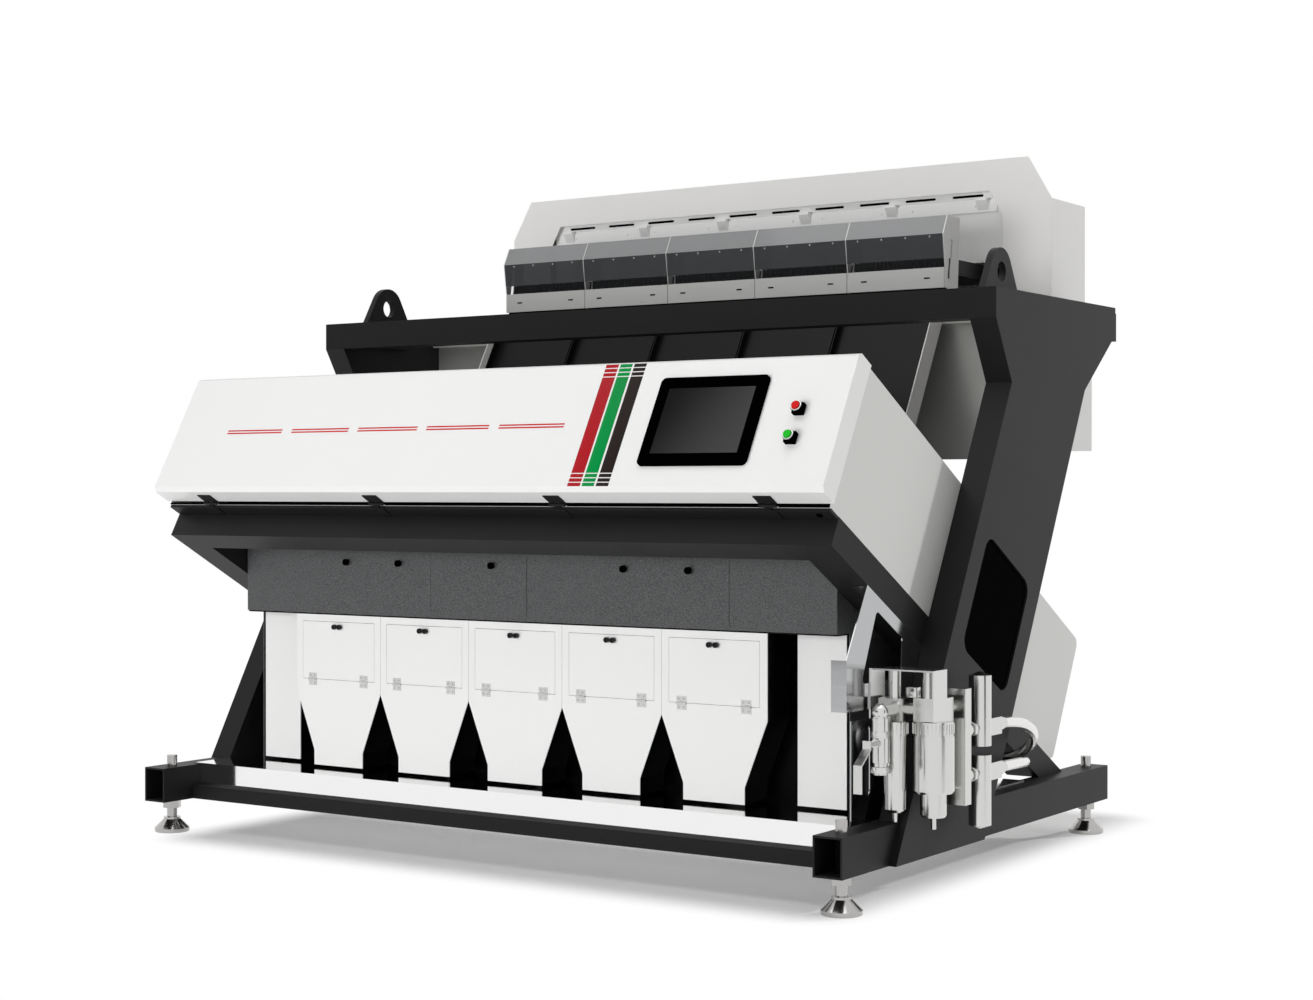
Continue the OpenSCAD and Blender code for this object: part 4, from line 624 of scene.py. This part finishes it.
def rod(name, diameter, height, sides):
    bpy.ops.object.select_all(action="DESELECT")
    bpy.ops.mesh.primitive_cylinder_add(
        vertices=sides, radius=diameter / 2000, depth=height / 1000
    )
    return started(name)


def disc(name, diameter, height, sides, edge):
    return eased(rod(name, diameter, height, sides), edge)


# %% Placing tools
def spot(x, y, z, turn=0, about="X"):
    place = Matrix.Translation(Vector((x, y, z)) / 1000)
    return place @ Matrix.Rotation(math.radians(turn), 4, about)


def copies(pattern, name, place, spots):
    """Copies a pattern to each spot, with a mesh of its own, and joins the copies to one piece."""
    made = []
    for where in spots:
        copy = pattern.copy()
        copy.data = pattern.data.copy()
        copy.data.transform(place @ where)
        bpy.context.scene.collection.objects.link(copy)
        made.append(copy)
    bpy.ops.object.select_all(action="DESELECT")
    for copy in made:
        copy.select_set(True)
    bpy.context.view_layer.objects.active = made[0]
    if len(made) > 1:
        bpy.ops.object.join()
    made[0].name = name
    return made[0]


def fitted_on(piece, body, finish):
    piece.data.materials.clear()
    piece.data.materials.append(finish)
    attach(piece, body)
    print(piece.name, "rides", body, "faces", len(piece.data.polygons))


def dropped(*patterns):
    for pattern in patterns:
        bpy.data.objects.remove(pattern)


# %% [markdown]
# ## Stripes on the door
# Three upright stripes and five pairs of thin dashes are printed on the door. A stripe is one long bar
# with three short bands at each end. They ride on the door, so they fold down with it.

# %% Door stripes
DOOR_FACE = -661.25
PRINT_T, PRINT_EDGE = 0.4, 0.1
LONG_H, LONG_MIDDLE = 286, 878.5
BAND_H, BAND_STEP, LOWEST_BAND, HIGHEST_BAND = 10, 13, 701.5, 1055.5
stripes = [
    ("red", 397, 40, stripe_red),
    ("green", 441.6, 38, stripe_green),
    ("brown", 485.9, 38, stripe_brown),
]
for colour, middle, width, finish in stripes:
    long_bar = bar("long_bar", width, PRINT_T, LONG_H, PRINT_EDGE)
    band = bar("band", width, PRINT_T, BAND_H, PRINT_EDGE)
    spots = [spot(middle, DOOR_FACE, LOWEST_BAND + BAND_STEP * k) for k in range(3)]
    spots += [spot(middle, DOOR_FACE, HIGHEST_BAND - BAND_STEP * k) for k in range(3)]
    body = copies(long_bar, "long_" + colour, LEANED, [spot(middle, DOOR_FACE, LONG_MIDDLE)])
    ends = copies(band, "ends_" + colour, LEANED, spots)
    dropped(long_bar, band)
    fitted_on(body, "front_door", finish)
    fitted_on(ends, "front_door", finish)

# %% Door dashes
DASH_L, DASH_H = 216, 4.2
DASH_MIDDLES = (-808, -554, -303, -54, 196)
DASH_ROWS = (874, 882.5)
dash = bar("dash", DASH_L, PRINT_T, DASH_H, PRINT_EDGE)
spots = [spot(x, DOOR_FACE, z) for x in DASH_MIDDLES for z in DASH_ROWS]
fitted_on(copies(dash, "door_dashes", LEANED, spots), "front_door", dash_red)
dropped(dash)

# %% [markdown]
# ## Seal under the door
# A black rubber edge covers the bare front edge of the optical box, where the door closes on it. The
# four hinges break it into five lengths, so each length is its own bar, cut a little short of the
# knuckles.

# %% Door seal
SEAL_Y, SEAL_Z = -591.3, 678.5
SEAL_T, SEAL_H, SEAL_EDGE = 2, 5, 0.5
HINGES, HINGE_ROOM, END_ROOM = (-945, -310, 310, 945), 29, 2
box_low, box_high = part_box("front_box")
box_half = (box_high.x - box_low.x) * 500
starts = [-box_half + END_ROOM] + [x + HINGE_ROOM for x in HINGES]
stops = [x - HINGE_ROOM for x in HINGES] + [box_half - END_ROOM]
for number, (start, stop) in enumerate(zip(starts, stops), 1):
    edge_bar = bar("edge_bar", stop - start, SEAL_T, SEAL_H, SEAL_EDGE)
    place = [spot((start + stop) / 2, SEAL_Y, SEAL_Z)]
    seal = copies(edge_bar, "door_seal_%d" % number, LEANED, place)
    fitted_on(seal, "frame", seal_black)
    dropped(edge_bar)

# %% [markdown]
# ## Rings and screws
# A chrome ring holds each push button. Pan head screws hold the hinges, the visors and the rear covers.
# The screw's head is a rounded disc with a round recess: the top face is inset and pushed down.

# %% Button rings
BUTTON_X, RING_Y, BUTTON_ROWS = 1005, -685, (907, 826)
bpy.ops.object.select_all(action="DESELECT")
bpy.ops.mesh.primitive_torus_add(
    major_radius=0.0128, minor_radius=0.0022, major_segments=56, minor_segments=14
)
ring = started("ring")
bpy.ops.object.shade_smooth()
spots = [spot(BUTTON_X, RING_Y, z, 90) for z in BUTTON_ROWS]
fitted_on(copies(ring, "button_rings", LEANED, spots), "front_door", bright_steel)
dropped(ring)


# %% Screw pattern
NEARLY = 0.00001


def screw(name, diameter):
    head, edge, rim, recess = (share * diameter for share in (0.45, 0.1, 0.16, 0.25))
    piece = disc(name, diameter, head, 24, edge)
    top = max(point.co.z for point in piece.data.vertices)
    picked(piece, lambda place: place.z > top - NEARLY)
    bpy.ops.object.mode_set(mode="EDIT")
    bpy.ops.mesh.inset(thickness=rim / 1000)
    bpy.ops.mesh.extrude_region_move(TRANSFORM_OT_translate={"value": (0, 0, -recess / 1000)})
    bpy.ops.object.mode_set(mode="OBJECT")
    return piece


small_screw = screw("small_screw", 5)
cover_screw = screw("cover_screw", 12)
print("screw faces:", len(small_screw.data.polygons))

# %% Hinge and visor screws
LEAF_Y, FIXED_LEAF_Z, FLAP_LEAF_Z = 262.2, 447, 469
VISOR_Y, VISOR_Z = 1261.6, 1761
leaf_x = (-107, -91, 91, 107)
spots = [spot(x + dx, LEAF_Y, FIXED_LEAF_Z, 90) for x in BANKS for dx in leaf_x]
fitted_on(copies(small_screw, "hinge_screws", UPRIGHT, spots), "frame", bright_steel)
for number, x in enumerate(BANKS, 1):
    spots = [spot(x + dx, LEAF_Y, FLAP_LEAF_Z, 90) for dx in leaf_x]
    name = "sample_door_%d" % number
    screws = copies(small_screw, name + "_screws", UPRIGHT, spots)
    fitted_on(screws, name, bright_steel)
spots = [spot(x + dx, VISOR_Y, VISOR_Z, 90) for x in BANKS for dx in (-120, -40, 40, 120)]
fitted_on(copies(small_screw, "visor_screws", UPRIGHT, spots), "frame", bright_steel)

# %% Rear cover screws
COVER_FACE, COVER_X = 1893, 508
spots = [
    spot(side * (COVER_X + dx), COVER_FACE, z, -90)
    for side in (-1, 1)
    for dx in (-490, 0, 490)
    for z in (1155, 1340, 1522)
]
screws = copies(cover_screw, "rear_cover_screws", UPRIGHT, spots)
fitted_on(screws, "frame", bright_steel)
dropped(small_screw, cover_screw)

# %% [markdown]
# ## Slots, louvres and locks
# A slot with round ends is a short disc with one half of its points moved along. Black ones close the
# slotted strip on the front of the bin and mark the slots of the feeder plates. Louvres and
# quarter-turn locks stand on the rear covers, and a plug closes a hole in the hinge strip.


# %% Slot pattern
def stadium(name, length, width, height):
    piece = rod(name, width, height, 30)
    picked(piece, lambda place: place.x > 0)
    bpy.ops.object.mode_set(mode="EDIT")
    bpy.ops.transform.translate(value=((length - width) / 1000, 0, 0))
    bpy.ops.object.mode_set(mode="OBJECT")
    piece.data.transform(Matrix.Translation(((width - length) / 2000, 0, 0)))
    return eased(piece, height / 5)


# %% Strip and plate slots
STRIP_Y, STRIP_Z = 1600.8, 1919
PLATE_Y, PLATE_Z = 1272.7, 1640
strip_slot = stadium("strip_slot", 104, 7, 2)
spots = [spot(x + dx, STRIP_Y, STRIP_Z, 90) for x in BANKS for dx in (-81.25, 81.25)]
fitted_on(copies(strip_slot, "strip_slots", UPRIGHT, spots), "frame", seal_black)
plate_slot = stadium("plate_slot", 20, 4.5, 1)
spots = [spot(x + dx, PLATE_Y, PLATE_Z, 90) for x in BANKS for dx in (-105, 105)]
fitted_on(copies(plate_slot, "plate_slots", UPRIGHT, spots), "frame", seal_black)
dropped(strip_slot, plate_slot)

# %% Rear louvres and locks
LOWEST_LOUVRE, LOUVRE_STEP, LOUVRES = 1210, 26, 8
LOCK_Z, LOCK_X = 1340, (60, 955)
louvre = stadium("louvre", 260, 16, 5)
spots = [
    spot(x, COVER_FACE + 1, LOWEST_LOUVRE + LOUVRE_STEP * k, -90)
    for x in (-COVER_X, COVER_X)
    for k in range(LOUVRES)
]
fitted_on(copies(louvre, "rear_louvres", UPRIGHT, spots), "frame", cabinet_white)
lock = disc("lock", 26, 8, 32, 1.5)
spots = [spot(side * x, COVER_FACE + 2, LOCK_Z, -90) for side in (-1, 1) for x in LOCK_X]
fitted_on(copies(lock, "rear_locks", UPRIGHT, spots), "frame", bright_steel)
key = stadium("key", 14, 4, 3)
spots = [spot(side * x, COVER_FACE + 6, LOCK_Z, -90) for side in (-1, 1) for x in LOCK_X]
fitted_on(copies(key, "rear_lock_keys", UPRIGHT, spots), "frame", seal_black)
dropped(louvre, lock, key)

# %% Strip plug
PLUG_PLACE = (1078, -566, 668.2)
plug = disc("plug", 16, 3, 32, 0.8)
placed_plug = copies(plug, "strip_plug", LEANED, [spot(*PLUG_PLACE)])
fitted_on(placed_plug, "frame", seal_black)
dropped(plug)

# %% [markdown]
# ## Black lips at the funnel necks
# A funnel ends just above the slots of the base tray. A black lip on each side closes that gap, and its
# black stands in for the shade under the neck, as painted shade. Each lip is one thin bar with eased
# edges that stands on the tray beside the neck.

# %% Neck lips, painted shade
LIP_T, LIP_L, LIP_H, LIP_EDGE = 2.4, 112, 10, 0.6
NECK_HALF, NECK_Y, LIP_MIDDLE = 95.6, 320.5, 5.1
tray_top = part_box("base_tray")[1].z * 1000
# Painted shade: black bars beside each neck, where the tray lies in shade under the funnel.
lip = bar("lip", LIP_T, LIP_L, LIP_H, LIP_EDGE)
spots = [
    spot(x + side * NECK_HALF, NECK_Y, tray_top + LIP_MIDDLE) for x in BANKS for side in (-1, 1)
]
fitted_on(copies(lip, "neck_shade_lips", UPRIGHT, spots), "frame", seal_black)
dropped(lip)

# %% [markdown]
# ## Fittings of the air unit
# Hexagon nuts sit where pipes screw in, ribs run round the bowl collars so that a hand can turn them, a
# small gauge block stands on the pipe between the filter heads, and ferrules clamp the hose ends.

# %% Nuts and gauge
FILTER_X, HOSE_X, PORT_ROWS = 1169, 1258, (409, 295)
nut = disc("nut", 50, 16, 6, 1.5)
spots = [spot(FILTER_X, 204, z) for z in (334, 420)]
fitted_on(copies(nut, "valve_nuts", UPRIGHT, spots), "frame", bright_steel)
port_nut = disc("port_nut", 42, 14, 6, 1.2)
spots = [spot(HOSE_X, y, z, 90) for z in PORT_ROWS for y in (446, 520)]
fitted_on(copies(port_nut, "port_nuts", UPRIGHT, spots), "frame", bright_steel)
gauge = bar("gauge", 30, 26, 26, 2.5)
block = copies(gauge, "gauge_block", UPRIGHT, [spot(1206, 305, 517)])
fitted_on(block, "frame", bright_steel)
dropped(nut, port_nut, gauge)

# %% Bowl ribs
COLLAR_Z = 429
rib = bar("rib", 2.4, 3, 26, 0.6)
collars = [(FILTER_X, 279, 32.2, 20), (1248.5, 330, 50.6, 32)]
spots = []
for x, y, radius, count in collars:
    for k in range(count):
        turned = Matrix.Rotation(math.radians(360 * k / count), 4, "Z")
        away = turned @ Matrix.Translation((0, radius / 1000, 0))
        spots.append(spot(x, y, COLLAR_Z) @ away)
fitted_on(copies(rib, "bowl_ribs", UPRIGHT, spots), "frame", bright_steel)
dropped(rib)

# %% Hose ferrules
HOSE_START_Y, TANK_END_X, TANK_PORT_Z = 700, 1046, 263
ferrule = disc("ferrule", 33, 22, 40, 3)
spots = [spot(HOSE_X, HOSE_START_Y, z, 90) for z in PORT_ROWS]
spots += [spot(TANK_END_X, y, TANK_PORT_Z, 90, "Y") for y in (1008, 1082)]
fitted_on(copies(ferrule, "hose_ferrules", UPRIGHT, spots), "frame", bright_steel)
dropped(ferrule)

# %% [markdown]
# ## Floor
# A pale floor catches the machine's soft shadow. A little way out from the base, measured as the
# distance from a rectangle, it turns into a plain white glow, so that it runs into the background
# without a seam. As in the world, that glow is only seen and lights nothing.

# %% Floor finish
SHADOW_HALF, FADE = (1.0, 0.88, 0), 0.2
floor_finish, tree, surface = new_material("floor_white")
lit = added(
    tree,
    "ShaderNodeBsdfPrincipled",
    {
        "Base Color": (0.88, 0.88, 0.88, 1),
        "Roughness": 0.7,
        "Specular IOR Level": 0.1,
        "Emission Color": (1, 1, 1, 1),
        "Emission Strength": 0.14,
    },
)
white = tree.nodes.new("ShaderNodeEmission")
outside = calc_vector(tree, "ABSOLUTE", place_in_object(tree))
outside = calc_vector(tree, "SUBTRACT", outside, SHADOW_HALF)
outside = calc_vector(tree, "MAXIMUM", outside, (0, 0, 0))
fade = ranged(tree, calc_vector(tree, "LENGTH", outside), stop=FADE, curve="SMOOTHSTEP")
shown = calc(tree, "MULTIPLY", fade, seen_directly(tree))
tree.links.new(either(tree, shown, lit, white).outputs[0], surface)
print("finish:", floor_finish.name)

# %% Pale floor
bpy.ops.object.select_all(action="DESELECT")
bpy.ops.mesh.primitive_plane_add(size=60, location=(0, 0, -0.0005))
floor = bpy.context.object
floor.name = "floor"
floor.data.materials.append(floor_finish)
print("floor at", round(floor.location.z, 4))
